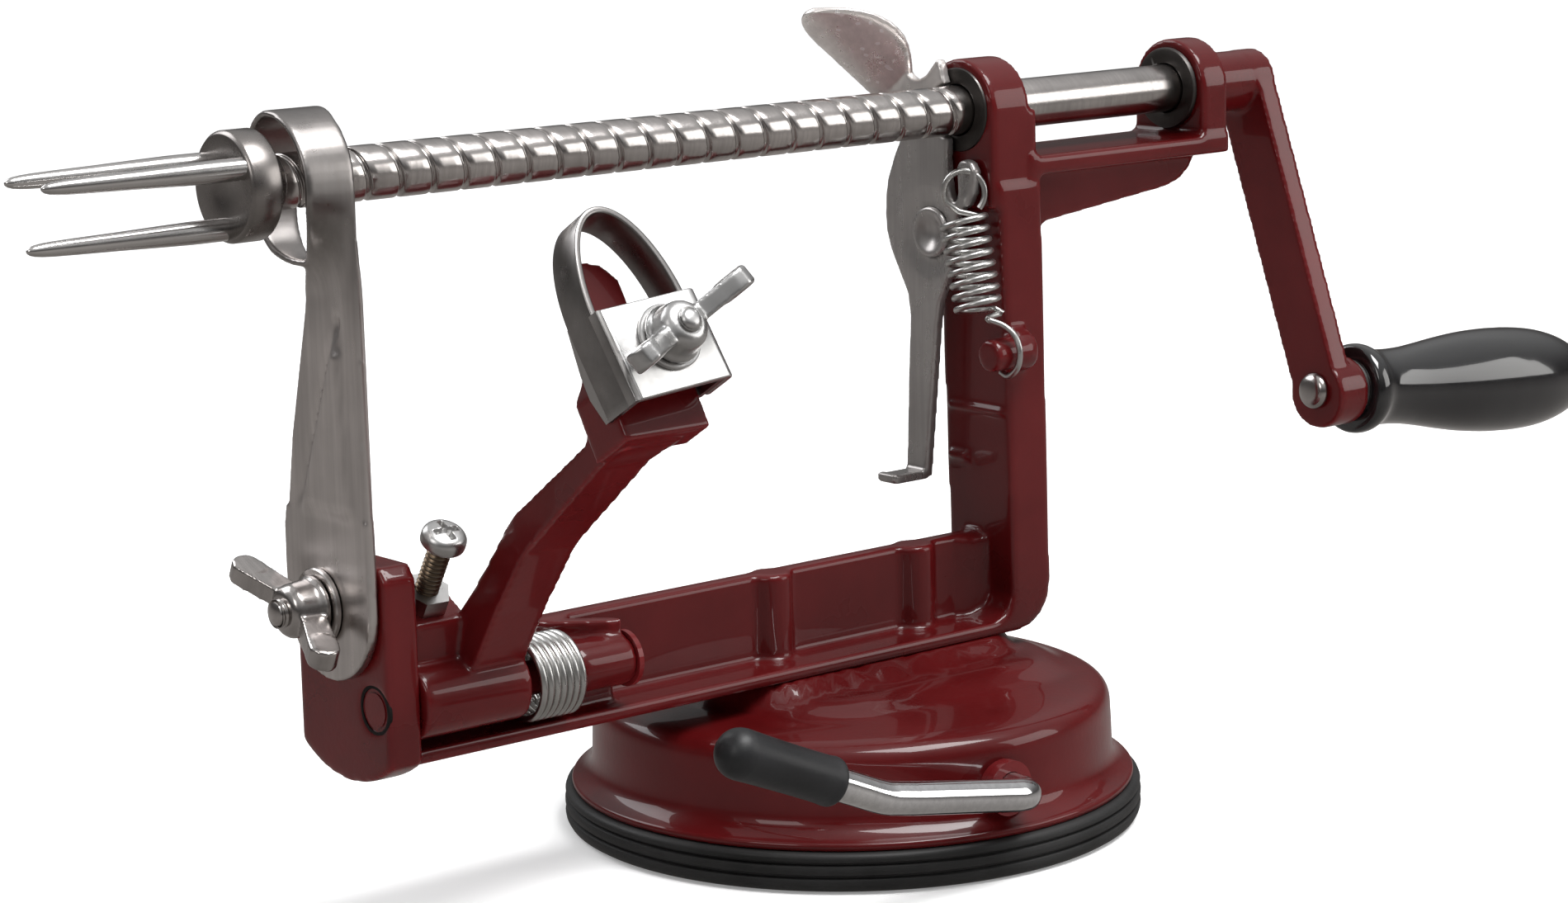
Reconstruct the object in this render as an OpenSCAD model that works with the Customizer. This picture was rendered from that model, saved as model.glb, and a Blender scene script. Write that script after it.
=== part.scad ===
/* [Base] */
// Radius of the rubber suction pad at its rim
pad_r = 54.2; // [53.8:0.1:54.8]
// Outside radius of the dome's wall
dome_r = 49; // [48.5:0.1:49.5]
// Height of the top of the dome
dome_h = 26; // [25.5:0.1:26.2]

/* [Frame] */
// Height of the underside of the long beam
beam_z0 = 30.5; // [30.5:0.1:30.6]
// Height of the top of the beam
beam_z1 = 49; // [48.5:0.1:49.5]
// Half width of the flange, the post and the bracket
frame_hw = 10; // [9.8:0.1:10.2]
// Height of the shaft above the table
shaft_z = 130; // [129.8:0.1:130.2]
// Radius of the arches round the shaft
tower_r = 9.5; // [9.3:0.1:9.8]

/* [Feed screw] */
// Radius of the smooth part of the shaft
shaft_r = 4.65; // [4.6:0.01:4.65]
// Lead of the screw
pitch = 6.5; // [6.4:0.1:6.6]
// Width of the groove between two turns
groove_w = 1.5; // [1.4:0.1:1.7]
// Depth of the groove
groove_d = 0.55; // [0.5:0.01:0.6]

/* [Crank] */
// Thickness of the crank arm
crank_t = 5; // [4.5:0.1:5.2]
// Radius of the ends of the crank arm
crank_r = 6.1; // [5.9:0.1:6.4]
// Length of the grip
grip_l = 69; // [67:1:70]

/* [Fork] */
// Radius of the fork's hub
hub_r = 9.2; // [9:0.1:9.6]
// Radius of the circle that the tines stand on
tine_pr = 6.8; // [6.6:0.1:7]
// Radius of a tine at its root
tine_r = 1.9; // [1.7:0.1:1.9]

/* [Slicer] */
// Outside radius of the coring ring
ring_ro = 12.7; // [12.5:0.1:12.8]
// Inside radius of the coring ring
ring_ri = 11.3; // [11.1:0.1:11.4]
// Thickness of the slicer's sheet
slicer_t = 2.2; // [2:0.1:2.4]

/* [Peeler arm] */
// Radius of the arm's hub
arm_hub_r = 6.4; // [6.2:0.1:6.5]
// Radius of the pivot pin
pin_r = 3; // [2.8:0.1:3.1]
// Wire radius of the torsion spring
tors_wire = 0.7; // [0.6:0.05:0.72]

/* [Hidden] */

red = "#7a1420";
steel = "#9a9896";
bright = "#c9c9cc";
black = "#1b1b1c";

// x stations
plate_x0 = -112;      // end plate, outer face
plate_x1 = -105.5;    // end plate, inner face
t1_x0 = 29.2;         // front tower
t1_x1 = 38.7;
t2_x0 = 85;           // rear tower
t2_x1 = 92;
thread_x0 = -118;
thread_x1 = 29;
screw_xs = [-19, 16]; // ribs of the beam, which take the base screws
piv = [-9, 41.4];     // peeler pivot, y and z
lev = [-6, 15.5];     // suction lever's axis, x and z
rel = [5.5, 106.7];   // release lever's pivot, y and z
peg = [-12, 85];      // spring peg, y and z
ear = [-4.2, 118.5];  // spring ear, y and z
sl = [2, 58];         // slicer bolt, y and z
ring_z = shaft_z - 0.6;
grip_c = [-22, 69];   // grip axis, y and z
crank_x0 = 104;
crank_x1 = crank_x0 + crank_t;
lev_y = -56;
fit = 0.05;
arm_x0 = -95;
arm_x1 = -84;
head_o = [-85.5, -62.6, 100];
head_a = 59;
bolt_p = [-2, 7.2];   // bolt of the blade head, in the head's own frame
stop_o = [-100, -13.4, 68.8];
stop_a = 31;

// a round bar along X through (y, z)
module bx(x0, x1, r, y = 0, z = 0, fn = 64)
  translate([x0, y, z]) rotate([0, 90, 0]) cylinder(h = x1 - x0, r = r, $fn = fn);
// a round bar along Y through (x, z)
module by(y0, y1, r, x = 0, z = 0, fn = 64)
  translate([x, y1, z]) rotate([90, 0, 0]) cylinder(h = y1 - y0, r = r, $fn = fn);
// a flat outline in (y, z), drawn from x0 to x1
module yz(x0, x1) translate([x0, 0, 0]) rotate([90, 0, 90]) linear_extrude(x1 - x0) children();
// a flat outline in (x, z), drawn from y0 to y1
module xz(y0, y1) translate([0, y1, 0]) rotate([90, 0, 0]) linear_extrude(y1 - y0) children();
module box(a, b) translate(a) cube(b - a);
// a round bar from point a to point b
module rod(a, b, r, fn = 48) {
  d = b - a;
  l = norm(d);
  translate(a) rotate([0, acos(d[2] / l), atan2(d[1], d[0])]) cylinder(h = l, r = r, $fn = fn);
}
// a slot-shaped outline between two points
module bar2(a, b, r) {
  d = b - a;
  translate(a) circle(r, $fn = 64);
  translate(b) circle(r, $fn = 64);
  translate(a) rotate(atan2(d[1], d[0])) translate([0, -r]) square([norm(d), 2 * r]);
}
// the place and lean of the blade head: local x along the shaft, y up the plate, z outwards
module head() translate(head_o) rotate([head_a, 0, 0]) children();
module stopf() translate(stop_o) rotate([stop_a, 0, 0]) children();

// a wire of n sides swept along points
function unit(v) = v / norm(v);
function tang(p, i) = unit(p[min(i + 1, len(p) - 1)] - p[max(i - 1, 0)]);
module wire(p, r, up = [0, 0, 1], n = 6) {
  m = len(p);
  v = [for (i = [0 : m - 1]) let (t = tang(p, i), a = unit(cross(t, up)), b = cross(t, a))
    for (k = [0 : n - 1]) p[i] + r * (cos(360 * k / n) * a + sin(360 * k / n) * b)];
  f = [for (i = [0 : m - 2], k = [0 : n - 1])
    [i * n + k, (i + 1) * n + k, (i + 1) * n + (k + 1) % n, i * n + (k + 1) % n]];
  polyhedron(v, concat([[for (k = [0 : n - 1]) k]], f, [[for (k = [n - 1 : -1 : 0]) (m - 1) * n + k]]));
}
// points of a coil about an axis from a to b
function coil(a, b, r, turns, n, ph = 0) = let (t = unit(b - a), u = unit(cross(t, [0, 1, 0.01])),
  w = cross(t, u), m = round(turns * n))
  [for (i = [0 : m]) a + (b - a) * i / m + r * (cos(360 * i / n + ph) * u + sin(360 * i / n + ph) * w)];

// ---------------------------------------------------------------- frame
module frame_casting() color(red) difference() {
  union() {
    box([plate_x1 - 1, -1, beam_z0 + 1], [34, 3, beam_z1]);                 // web
    box([plate_x1 - 1, -frame_hw, beam_z0], [34, frame_hw, beam_z0 + 2.5]); // flange
    for (x = screw_xs) {
      translate([x, 0, beam_z0 + 1]) cylinder(h = beam_z1 - beam_z0 - 1, r = 4, $fn = 64);
    }
    // end plate with its round foot
    yz(plate_x0, plate_x1) union() {
      polygon([[-13.5, 43], [14, 43], [14, 63.5], [11.5, 66], [-11.5, 66], [-13.5, 63.8]]);
      intersection() {
        translate([0.25, 50.5]) circle(23, $fn = 128);
        translate([-13.5, 20]) square([27.5, 23.01]);
      }
    }
    // rear lug of the peeler pivot
    bx(-71.8, -60, 4.5, piv[0], piv[1]);
    box([-71.8, -9, 37.4], [-60, 0, 45.4]);
    box([-71.8, -6.4, beam_z0 + 1], [-60, 0, 38]);
    translate([0, 0, 44]) linear_extrude(4.6)
      polygon([[-73, 0], [-72.4, -1.6], [-62.6, -9.4], [-60.6, -9.6], [-60, -8.4], [-60.4, -6.8], [-69, 0]]);
    // post
    xz(-frame_hw, frame_hw - 2) polygon([[30.6, 116], [41.2, 116], [42.7, 39], [42, 35.6],
      [40.2, 33], [37.6, 31.2], [34.5, 30.5], [28, 30.5], [28, 33], [31.4, 34.4], [32.8, 37.5], [32.6, 50]]);
    // spring peg
    bx(25, 34, 3.1, peg[0], peg[1]);
    bx(32.2, 35.6, 4, peg[0] + 1.2, peg[1]);
    // pad under the release lever's rivet
    bx(28.6, 33, 5, rel[0], rel[1]);
    // front tower
    bx(t1_x0, t1_x1, tower_r, 0, shaft_z, 96);
    box([t1_x0, -tower_r, 112], [t1_x1 + 2, tower_r, shaft_z]);
    // bracket
    box([t1_x1, -frame_hw, 117.4], [t2_x1, frame_hw, 121]);
    xz(-4.5, 4.5) polygon([[39, 119], [39, 100], [42, 100], [43.5, 104.5], [47.5, 107.5],
      [80, 111.2], [84, 112.4], [86.8, 114.8], [88.5, 118.4]]);
    // rear tower
    bx(t2_x0, t2_x1, tower_r, 0, shaft_z, 96);
    box([t2_x0, -tower_r, 117.4], [t2_x1, tower_r, shaft_z]);
  }
  // the bracket is cut down to the shaft between the towers
  for (x = screw_xs) translate([x, 0, beam_z0 - 1]) cylinder(h = 15, r = 2.2, $fn = 48);
  bx(t1_x0 - 1, t1_x1 + 4, 6.6, 0, shaft_z);
  bx(t2_x0 - 1, t2_x1 + 1, 6.6, 0, shaft_z);
  bx(plate_x0 - 1, -58, pin_r, piv[0], piv[1]);
  bx(plate_x0 - 1, plate_x0 + 0.8, 4, piv[0], piv[1]);
  bx(plate_x0 - 1, plate_x1 + 1, 2.5, sl[0], sl[1]);
  bx(plate_x1 - 2.4, plate_x1 + 1, 4.2, sl[0], sl[1]);
  bx(27, 36, 2, rel[0], rel[1]);
  // room for the torsion spring, the arm's hub and the release lever's spring ear
  bx(-105.5, -71.8, 8.2, piv[0], piv[1]);
  box([29, 4, 99], [30.61, 12, 101]);
}

module base_dome() color(red) difference() {
  union() {
    rotate_extrude($fn = 128) polygon([[0, 7.4], [52.7, 7.4], [52.8, 8], [52.4, 8.8], [51.3, 9.8],
      [50.3, 11], [dome_r + 0.5, 12.6], [dome_r, 14.6], [dome_r - 0.5, 21], [dome_r - 1.6, 23.2],
      [dome_r - 4, 24.7], [dome_r - 8, 25.4], [0, dome_h]]);
    translate([0, 0, dome_h - 2]) linear_extrude(beam_z0 - dome_h + 2)
      bar2([-20, 0], [24, 0], 11.5);
    translate([4, -4, dome_h - 2]) linear_extrude(3.4) bar2([-14, 0], [18, 0], 21);
  }
  // hollow underside
  translate([0, 0, 7]) cylinder(h = 2, r = 49.6, $fn = 128);
  translate([0, 0, 8]) cylinder(h = 12.6, r = 46, $fn = 128);
  translate([0, 0, 20]) cylinder(h = 2.8, r = 43.5, $fn = 128);
  box([-13, -9.5, 20], [9, 9.5, 28.4]);
  for (x = screw_xs) translate([x, 0, 18]) cylinder(h = 20, r = 2.5, $fn = 48);
  by(-52, -44, 5, lev[0], lev[1]);
}

module base_screws() color(steel) for (x = screw_xs) translate([x, 0, 0]) difference() {
  union() {
    translate([0, 0, 22.8]) cylinder(h = 19.2, r = 2.2, $fn = 48);
    translate([0, 0, 19.6]) cylinder(h = 3.2, r = 4.4, $fn = 64);
  }
  translate([0, 0, 19]) cylinder(h = 2.6, r = 2.3, $fn = 6);
}

module suction_pad() color(black) rotate_extrude($fn = 128) polygon([[0, 0], [53.4, 0],
  [pad_r - 0.1, 1.2], [pad_r, 2.8], [pad_r - 0.8, 3.2], [pad_r, 3.6], [pad_r, 5.2],
  [pad_r - 0.8, 5.6], [pad_r - 0.1, 6], [pad_r - 0.3, 7], [pad_r - 0.8, 7.4], [49.6, 7.4],
  [49.6, 9], [46.2, 9], [45.2, 4.2], [36, 2.6], [18, 2.4], [16.6, 5], [13, 5],
  [13, 1.2], [0, 1.2]]);

module bush(x0, x1, fl0) color("#4a4644") difference() {
  union() {
    bx(x0, x1, 6.6, 0, shaft_z);
    bx(fl0, x0, 7.9, 0, shaft_z);
  }
  bx(fl0 - 1, x1 + 1, shaft_r + fit, 0, shaft_z);
}
module front_bush() bush(t1_x0, t1_x1, t1_x0 - 0.5);
module rear_bush() bush(t2_x0, t2_x1, t2_x0 - 1.2);

module peeler_pin() color(steel) union() {
  bx(plate_x0 + 0.2, -58.6, pin_r, piv[0], piv[1]);
  bx(plate_x0 + 0.4, plate_x0 + 0.8, 3.7, piv[0], piv[1]);
}
module pin_clip() color(bright) difference() {
  bx(-60, -59, 5, piv[0], piv[1]);
  bx(-61, -58, pin_r, piv[0], piv[1]);
}

module torsion_spring() color(bright) {
  c = coil([-82.4, piv[0], piv[1]], [-72.9, piv[0], piv[1]], 6.85, 7, 16, 40);
  wire(c, tors_wire, [1, 0, 0]);
}

// ---------------------------------------------------------------- slicer
module slicer_blade() color(steel) difference() {
  union() {
    yz(plate_x0 - slicer_t - 0.2, plate_x0 - 0.2) union() {
      polygon([[-12.5, 58], [-12.2, 100], [-11.4, 124], [-9, 126], [-1, 118.6], [2.4, 116],
        [3.4, 108], [9.5, 86], [13, 68], [13, 58]]);
      translate([0.25, 58]) intersection() {
        circle(12.75, $fn = 96);
        translate([-20, -20]) square([40, 20.01]);
      }
    }
    bx(-119.4, -112.6, ring_ro, 0, ring_z, 96);
  }
  bx(-124, -111, ring_ri, 0, ring_z, 96);
  bx(-116, -110, 2.6, sl[0], sl[1]);
}
module slicer_bolt() color(bright) union() {
  bx(-124, plate_x1, 2.5, sl[0], sl[1]);
  bx(plate_x1 - 2.4, plate_x1, 4.2, sl[0], sl[1]);
}
module slicer_washer() color(bright) difference() {
  bx(-115.6, -114.4, 6.5, sl[0], sl[1]);
  bx(-117, -113, 2.6, sl[0], sl[1]);
}
// a wing nut: bore, body along Z from 0, two wings
module wing_nut(r, br, h, wl, wt, lift) difference() {
  union() {
    cylinder(h = h, r1 = br + 0.6, r2 = br, $fn = 64);
    for (s = [-1, 1]) rotate([0, 0, s > 0 ? 0 : 180]) translate([0, wt / 2, 0]) rotate([90, 0, 0])
      linear_extrude(wt) union() {
        polygon([[br - 1.2, 0.8], [br + 0.4, 0.8], [wl - 1.5, lift - 2.6], [wl + 0.6, lift + 0.4],
          [wl - 1.6, lift + 2.8], [br - 1.2, h - 0.2]]);
        translate([wl - 1.4, lift]) circle(2.9, $fn = 40);
      }
  }
  translate([0, 0, -1]) cylinder(h = h + 2, r = r, $fn = 48);
}
module slicer_wing_nut() color(steel) translate([-115.7, sl[0], sl[1]]) rotate([0, -90, 0])
  rotate([0, 0, 66]) wing_nut(2.56, 4.4, 6.2, 14.5, 2.4, 6.6);

// ---------------------------------------------------------------- peeler arm
module peeler_arm() color(red) difference() {
  union() {
    bx(-105.3, -83.8, arm_hub_r, piv[0], piv[1]);
    // bar of the arm
    yz(arm_x0, arm_x1) polygon([[-3.4, 45], [-7.6, 53], [-17.1, 63.2], [-26.4, 74.4],
      [-47.4, 89.2], [-49, 96], [-56, 96], [-57.6, 89.6], [-50.2, 85.4], [-29.6, 68.6], [-20.4, 56.6], [-13.2, 45.6]]);
    // web and ear towards the end plate
    yz(-104.6, arm_x0 + 1) polygon([[-3.6, 44], [-2.4, 50.4], [0.1, 51.6], [0.1, 55.8],
      [-2.4, 60.2], [-11.4, 54.8], [-10.4, 50.5], [-9, 44]]);
    // head block
    head() {
      translate([-11.2, 1.5, -8.4]) cube([16.9, 11, 8.4]);
      translate([-11.2, -6, -13.2]) cube([16.9, 12, 7.6]);
      translate([-9.5, 12, -8.4]) cube([15.2, 2, 8.4]);
      translate([-11.2, -6, -15.4]) cube([3.6, 16, 8]);
      translate([-11.2, 10, -8.4]) rotate([0, 90, 0]) linear_extrude(3.6)
        polygon([[0, -1], [7, -1], [7, 0], [3, 5.4], [0, 8]]);
      translate([-5.4, 19.4, -11.2]) cylinder(h = 3.6, r = 5.8, $fn = 64);
      translate([-11.2, 5, -11.2]) cube([11.6, 14.4, 3.6]);
    }
  }
  bx(-106, -80, pin_r + fit, piv[0], piv[1]);
  head() translate([bolt_p[0], bolt_p[1], -12]) cylinder(h = 20, r = 2.1, $fn = 48);
  head() translate([bolt_p[0], bolt_p[1], -18]) cylinder(h = 9.6, r = 4.1, $fn = 64);
  stopf() translate([0, 0, -24]) cylinder(h = 30, r = 2.1, $fn = 48);
}
module blade_saddle() color(bright) difference() {
  head() {
    translate([-11.4, -1.4, 0]) cube([19.5, 15.8, 1.4]);
    translate([7.1, -1.4, -6.4]) cube([1.3, 15.8, 7.8]);
  }
  head() translate([bolt_p[0], bolt_p[1], -12]) cylinder(h = 20, r = 2.1, $fn = 48);
}
// strip bent to a tall loop; its width runs through the head
module peeler_blade() color(steel) head() {
  translate([-12.4, -1.4, -7.4]) cube([1.2, 13.9, 7.2]);
  translate([5.8, 1, -7.4]) cube([1.2, 11.5, 7.2]);
  translate([-2.7, 12.5, -7.4]) difference() {
    linear_extrude(7.2) polygon([for (a = [0 : 6 : 180]) [9.7 * cos(a), 19.2 * sin(a)]]);
    translate([0, 0, -1]) linear_extrude(10)
      polygon(concat([[8.5, -1]], [for (a = [0 : 6 : 180]) [8.5 * cos(a), 18 * sin(a)]], [[-8.5, -1]]));
  }
}
module blade_bolt() color(bright) head() translate([bolt_p[0], bolt_p[1], 0]) {
  translate([0, 0, -11]) cylinder(h = 20.4, r = 2.1, $fn = 48);
  translate([0, 0, -11]) cylinder(h = 2.6, r = 3.9, $fn = 64);
}
module blade_washer() color(bright) head() translate([bolt_p[0], bolt_p[1], 1.4]) difference() {
  cylinder(h = 1, r = 5.6, $fn = 64);
  translate([0, 0, -1]) cylinder(h = 3, r = 2.2, $fn = 48);
}
module blade_wing_nut() color(bright) head() translate([bolt_p[0], bolt_p[1], 2.5]) rotate([0, 0, 24])
  wing_nut(2.16, 4, 5.4, 14, 2.2, 6.4);
module stop_screw() color(bright) stopf() difference() {
  union() {
    translate([0, 0, -23]) cylinder(h = 23.2, r = 2.1, $fn = 48);
    cylinder(h = 1.6, r = 3.9, $fn = 64);
    translate([0, 0, 1.6]) cylinder(h = 1.4, r1 = 3.9, r2 = 2.4, $fn = 64);
  }
  for (a = [0, 90]) rotate([0, 0, a]) translate([-2.2, -0.5, 1.2]) cube([4.4, 1, 3]);
}
module stop_nut() color(bright) stopf() translate([0, 0, -13]) difference() {
  cylinder(h = 3, r = 4.4, $fn = 6);
  translate([0, 0, -1]) cylinder(h = 5, r = 2.1, $fn = 48);
}

// ---------------------------------------------------------------- release lever
module release_lever() color(steel) difference() {
  union() {
    yz(26.5, 28.5) difference() {
      union() {
        polygon([[7.5, 60], [13.5, 60], [12.4, 80], [11.6, 92], [14.5, 98], [17.6, 104],
          [18.4, 109], [17.8, 115], [15.2, 121], [13.4, 125], [14.2, 126.8], [17, 127.6],
          [21.4, 129.2], [22.4, 131.2], [19, 134.2], [14.5, 136.6], [11.8, 136.7], [9.8, 135.2], [6.4, 136.2], [3, 139.6],
          [1.6, 135.4], [1.6, 124.6], [0.8, 122.6], [0.6, 118], [-0.2, 113.6], [-1.2, 110.4],
          [-1.2, 104], [0.4, 99], [3.4, 93.6], [4.8, 84]]);
        // tongue for the spring
        polygon([[-0.8, 112.4], [-2.4, 114.6], [-2.4, 119], [-6.8, 118.6], [-6.4, 114.6], [-4.6, 112.5],
          [-2.3, 111.4], [-0.8, 109]]);
        translate(ear) circle(2.7, $fn = 48);
      }
      translate([0, shaft_z]) circle(5.25, $fn = 72);
      translate(ear) circle(1.5, $fn = 40);
    }
    // tooth that rides in the groove of the feed screw
    box([27.2, 4.35, shaft_z - 0.6], [27.8, 6, shaft_z + 0.6]);
    // foot bent under the tail
    box([18, 7.5, 58.6], [28.5, 13.5, 60.4]);
    // thumb paddle
    translate([27.6, 16.6, 133.4]) rotate([0, -138, 0]) rotate([30, 0, 0]) translate([0, 0, -0.8])
      linear_extrude(1.6) paddle_outline();
  }
  bx(26, 29, 2.56, rel[0], rel[1]);
}
module paddle_outline() polygon([[-1.2, -4], [1.4, -5.6], [3.8, -7.1], [8.4, -9.2], [13.1, -9.6],
  [17.5, -8.3], [21.2, -5.8], [24.4, -1.5], [25.2, 1.7], [24, 4.3], [21.9, 5.9], [18.9, 6.3], [14, 6],
  [7.7, 5.6], [-1.2, 4.6]]);
module release_rivet() color(steel) union() {
  bx(26.2, 35, 2, rel[0], rel[1]);
  bx(26.2, 28.6, 2.5, rel[0], rel[1]);
  bx(25.2, 26.3, 4, rel[0], rel[1]);
}
module tension_spring() color(bright) {
  a = [24.4, -6.2, 110.9];
  b = [24.4, -10.2, 93.4];
  c = coil(a, b, 4.1, 8, 14, 0);
  wire(concat([[27.9, -4.2, 118.1], [26.2, -4.2, 118.3], [24.2, -4.2, 117.8], [22.6, -4.6, 115.8],
    [21.2, -5.2, 113.4]], c, [[27, -12, 91.6], [28.8, -15.4, 88.6], [28.9, -16.3, 85.8],
    [28.9, -15.6, 82.8], [28.9, -13.4, 80.9]]), 0.6, [0.02, 0.97, -0.22]);
}

// ---------------------------------------------------------------- feed screw, fork and crank
module shaft_core() color(steel) bx(-122.4, 103, 2.6, 0, shaft_z);
module feed_screw() color(steel) difference() {
  union() {
    bx(-123.4, thread_x1 + 0.4, shaft_r - groove_d, 0, shaft_z);
    bx(thread_x1 + 0.4, crank_x0, shaft_r, 0, shaft_z);
  }
  bx(-122.8, crank_x0 + 1, 2.6 + fit, 0, shaft_z);
}
// helical land between the grooves; the groove passes +Y at x = 27.5
module feed_thread() color(steel) {
  n = 16;
  r0 = (shaft_r - groove_d) / cos(180 / n) + 0.005;
  r1 = shaft_r - 0.1;
  hw = (pitch - groove_w) / 2;
  m = floor((thread_x1 - thread_x0 - pitch) / pitch * n);
  v = [for (i = [0 : m]) let (a = 360 * i / n,
      x = 27.5 - pitch / 2 - pitch * (m - i) / n, aa = a - 360 * m / n)
    for (q = [[-hw - 0.15, r0], [hw + 0.15, r0], [hw - 0.15, r1], [-hw + 0.15, r1]])
      [x + q[0], q[1] * cos(aa), shaft_z + q[1] * sin(aa)]];
  f = [for (i = [0 : m - 1], k = [0 : 3])
    [i * 4 + k, i * 4 + (k + 1) % 4, (i + 1) * 4 + (k + 1) % 4, (i + 1) * 4 + k]];
  polyhedron(v, concat([[3, 2, 1, 0]], f, [[m * 4, m * 4 + 1, m * 4 + 2, m * 4 + 3]]));
}
tine_as = [30, 150, 270];
module fork_hub() color(steel) difference() {
  union() {
    bx(-130.6, -124.8, hub_r, 0, shaft_z, 96);
    bx(-125, -121.6, 5.2, 0, shaft_z, 96);
  }
  bx(-123.4, -118, shaft_r - groove_d, 0, shaft_z);
  for (a = tine_as) bx(-132, -125.8, tine_r, tine_pr * cos(a), shaft_z + tine_pr * sin(a), 48);
}
module fork_tines() color(bright) for (a = tine_as)
  translate([0, tine_pr * cos(a), shaft_z + tine_pr * sin(a)]) {
    bx(-138, -125.8, tine_r, 0, 0, 48);
    translate([-138, 0, 0]) rotate([0, -90, 0]) cylinder(h = 26, r1 = tine_r, r2 = 1.25, $fn = 48);
    translate([-164, 0, 0]) rotate([0, -90, 0]) cylinder(h = 2.4, r1 = 1.25, r2 = 0.7, $fn = 48);
  }
// the grip's own frame: its axis leans a little outwards from the crank arm
module gf() translate([112, grip_c[0], grip_c[1]]) rotate([0, 4.4, -1.5]) children();
module crank_arm() color(red) difference() {
  union() {
    bx(crank_x0, crank_x1, crank_r, 0, shaft_z, 96);
    yz(crank_x0, crank_x1) translate([0, shaft_z]) rotate(atan2(grip_c[1] - shaft_z, grip_c[0]))
      translate([0, 0.2 - crank_r]) square([norm([grip_c[0], grip_c[1] - shaft_z]), 2 * crank_r - 0.4]);
    bx(crank_x0, 112, crank_r + 0.8, grip_c[0], grip_c[1], 96);
  }
  bx(crank_x0 - 1, crank_x1 + 1, 2.6, 0, shaft_z);
  gf() bx(-10, 2, 2.6);
}
module crank_collar() color(red) difference() {
  bx(93.4, crank_x0, 6, 0, shaft_z);
  bx(93, 105, shaft_r, 0, shaft_z);
}
module crank_end_screw() color(steel) difference() {
  union() {
    bx(103.4, crank_x1 + 0.01, 2.6, 0, shaft_z);
    bx(crank_x1, crank_x1 + 2.2, 4.6, 0, shaft_z);
  }
  translate([crank_x1 + 1.2, 0, shaft_z]) for (a = [0, 90]) rotate([a, 0, 0])
    translate([0, -0.6, -3]) cube([2, 1.2, 6]);
}
module handle_bolt() color(steel) gf() union() {
  bx(-9.9, -8.5, 3.6);
  bx(-8.5, 58.6, 2.6);
  bx(56.6, 58.6, 4.2);
}
module handle_washer() color(steel) difference() {
  gf() bx(0.6, 1.2, 6);
  gf() bx(0, 2, 2.6);
}
module handle_grip() color(black) gf() translate([1.3, 0, 0]) rotate([0, 90, 0])
  rotate_extrude($fn = 96) polygon([[3.4, 0], [8.2, 0], [8.9, 0.9], [9, 2.6], [8.6, 4.6],
    [7.9, 6.6], [7.6, 9], [7.6, 12], [7.9, 16], [8.6, 21], [9.5, 27], [10.3, 34], [10.7, 41],
    [10.7, 47], [10.3, 53], [9.4, 58], [7.9, 62.8], [5.6, 66.4], [2.8, grip_l - 0.5], [0, grip_l],
    [0, 60.4], [4.8, 60.4], [4.8, 54], [3.4, 54]]);
module handle_ferrule() color(steel) difference() {
  gf() bx(1.3, 55.2, 3.4);
  gf() bx(0, 57, 2.6 + fit);
}

// ---------------------------------------------------------------- suction clamp
lev_p1 = [-40, lev_y, 21.5];
lev_p2 = [-56, lev_y, 28.6];
lev_p3 = [-71.5, lev_y, 35.4];
module lever_bush() color(steel) difference() {
  by(-50.4, -43, 5, lev[0], lev[1]);
  by(-51, -42, 3 + fit, lev[0], lev[1]);
}
module lever_rod() color(bright) union() {
  by(lev_y, 15, 3, lev[0], lev[1]);
  translate([lev[0], lev_y, lev[1]]) sphere(3.06, $fn = 48);
  rod([lev[0], lev_y, lev[1]], lev_p1, 2.95);
  translate(lev_p1) sphere(3.03, $fn = 48);
  rod(lev_p1, lev_p2, 2.9);
}
module lever_grip() color(black) union() {
  rod(lev_p2 - 0.26 * (lev_p3 - lev_p2), lev_p3, 4.3);
  translate(lev_p3) sphere(4.42, $fn = 48);
}
module lever_grip_bored() color(black) difference() {
  lever_grip();
  rod(lev_p1, lev_p2, 2.9);
}
module suction_cams() color(steel) for (y = [-8.4, 3.6]) difference() {
  by(y, y + 4.8, 6.2, lev[0], lev[1] - 1.4);
  by(y - 1, y + 6, 3, lev[0], lev[1]);
}
module cam_bracket() color(steel) difference() {
  union() {
    for (y = [-12.6, 10.6]) box([-12, y, 10.5], [0, y + 2, 22.8]);
    for (y = [-18, 10.6]) box([-12, y, 21.3], [0, y + 7.4, 22.8]);
  }
  by(-14, 14, 3 + fit, lev[0], lev[1]);
}
module pad_stem() color(steel) translate([0, 0, 2.4]) cylinder(h = 18.9, r = 2.4, $fn = 48);
module pad_plate() color(steel) difference() {
  translate([0, 0, 1.3]) cylinder(h = 1.6, r = 12.4, $fn = 96);
  translate([0, 0, 2.4]) cylinder(h = 5, r = 2.4, $fn = 48);
}
module stem_crosshead() color(steel) difference() {
  box([-11.6, -9, 20.8], [3.6, 9, 22.4]);
  translate([0, 0, 10]) cylinder(h = 11.3, r = 2.4, $fn = 48);
}

frame_casting();
base_dome();
base_screws();
suction_pad();
front_bush();
rear_bush();
peeler_pin();
pin_clip();
torsion_spring();
slicer_blade();
slicer_bolt();
slicer_washer();
slicer_wing_nut();
lever_bush();
cam_bracket();
release_rivet();
tension_spring();
peeler_arm();
blade_saddle();
peeler_blade();
blade_bolt();
blade_washer();
blade_wing_nut();
stop_screw();
stop_nut();
release_lever();
shaft_core();
feed_screw();
feed_thread();
fork_hub();
fork_tines();
crank_arm();
crank_collar();
crank_end_screw();
handle_bolt();
handle_washer();
handle_grip();
handle_ferrule();
lever_rod();
lever_grip_bored();  // lever_grip
suction_cams();
pad_stem();
pad_plate();
stem_crosshead();
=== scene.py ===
import bmesh
import bpy
import math
import numpy as np
from mathutils import Matrix, Vector


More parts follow.
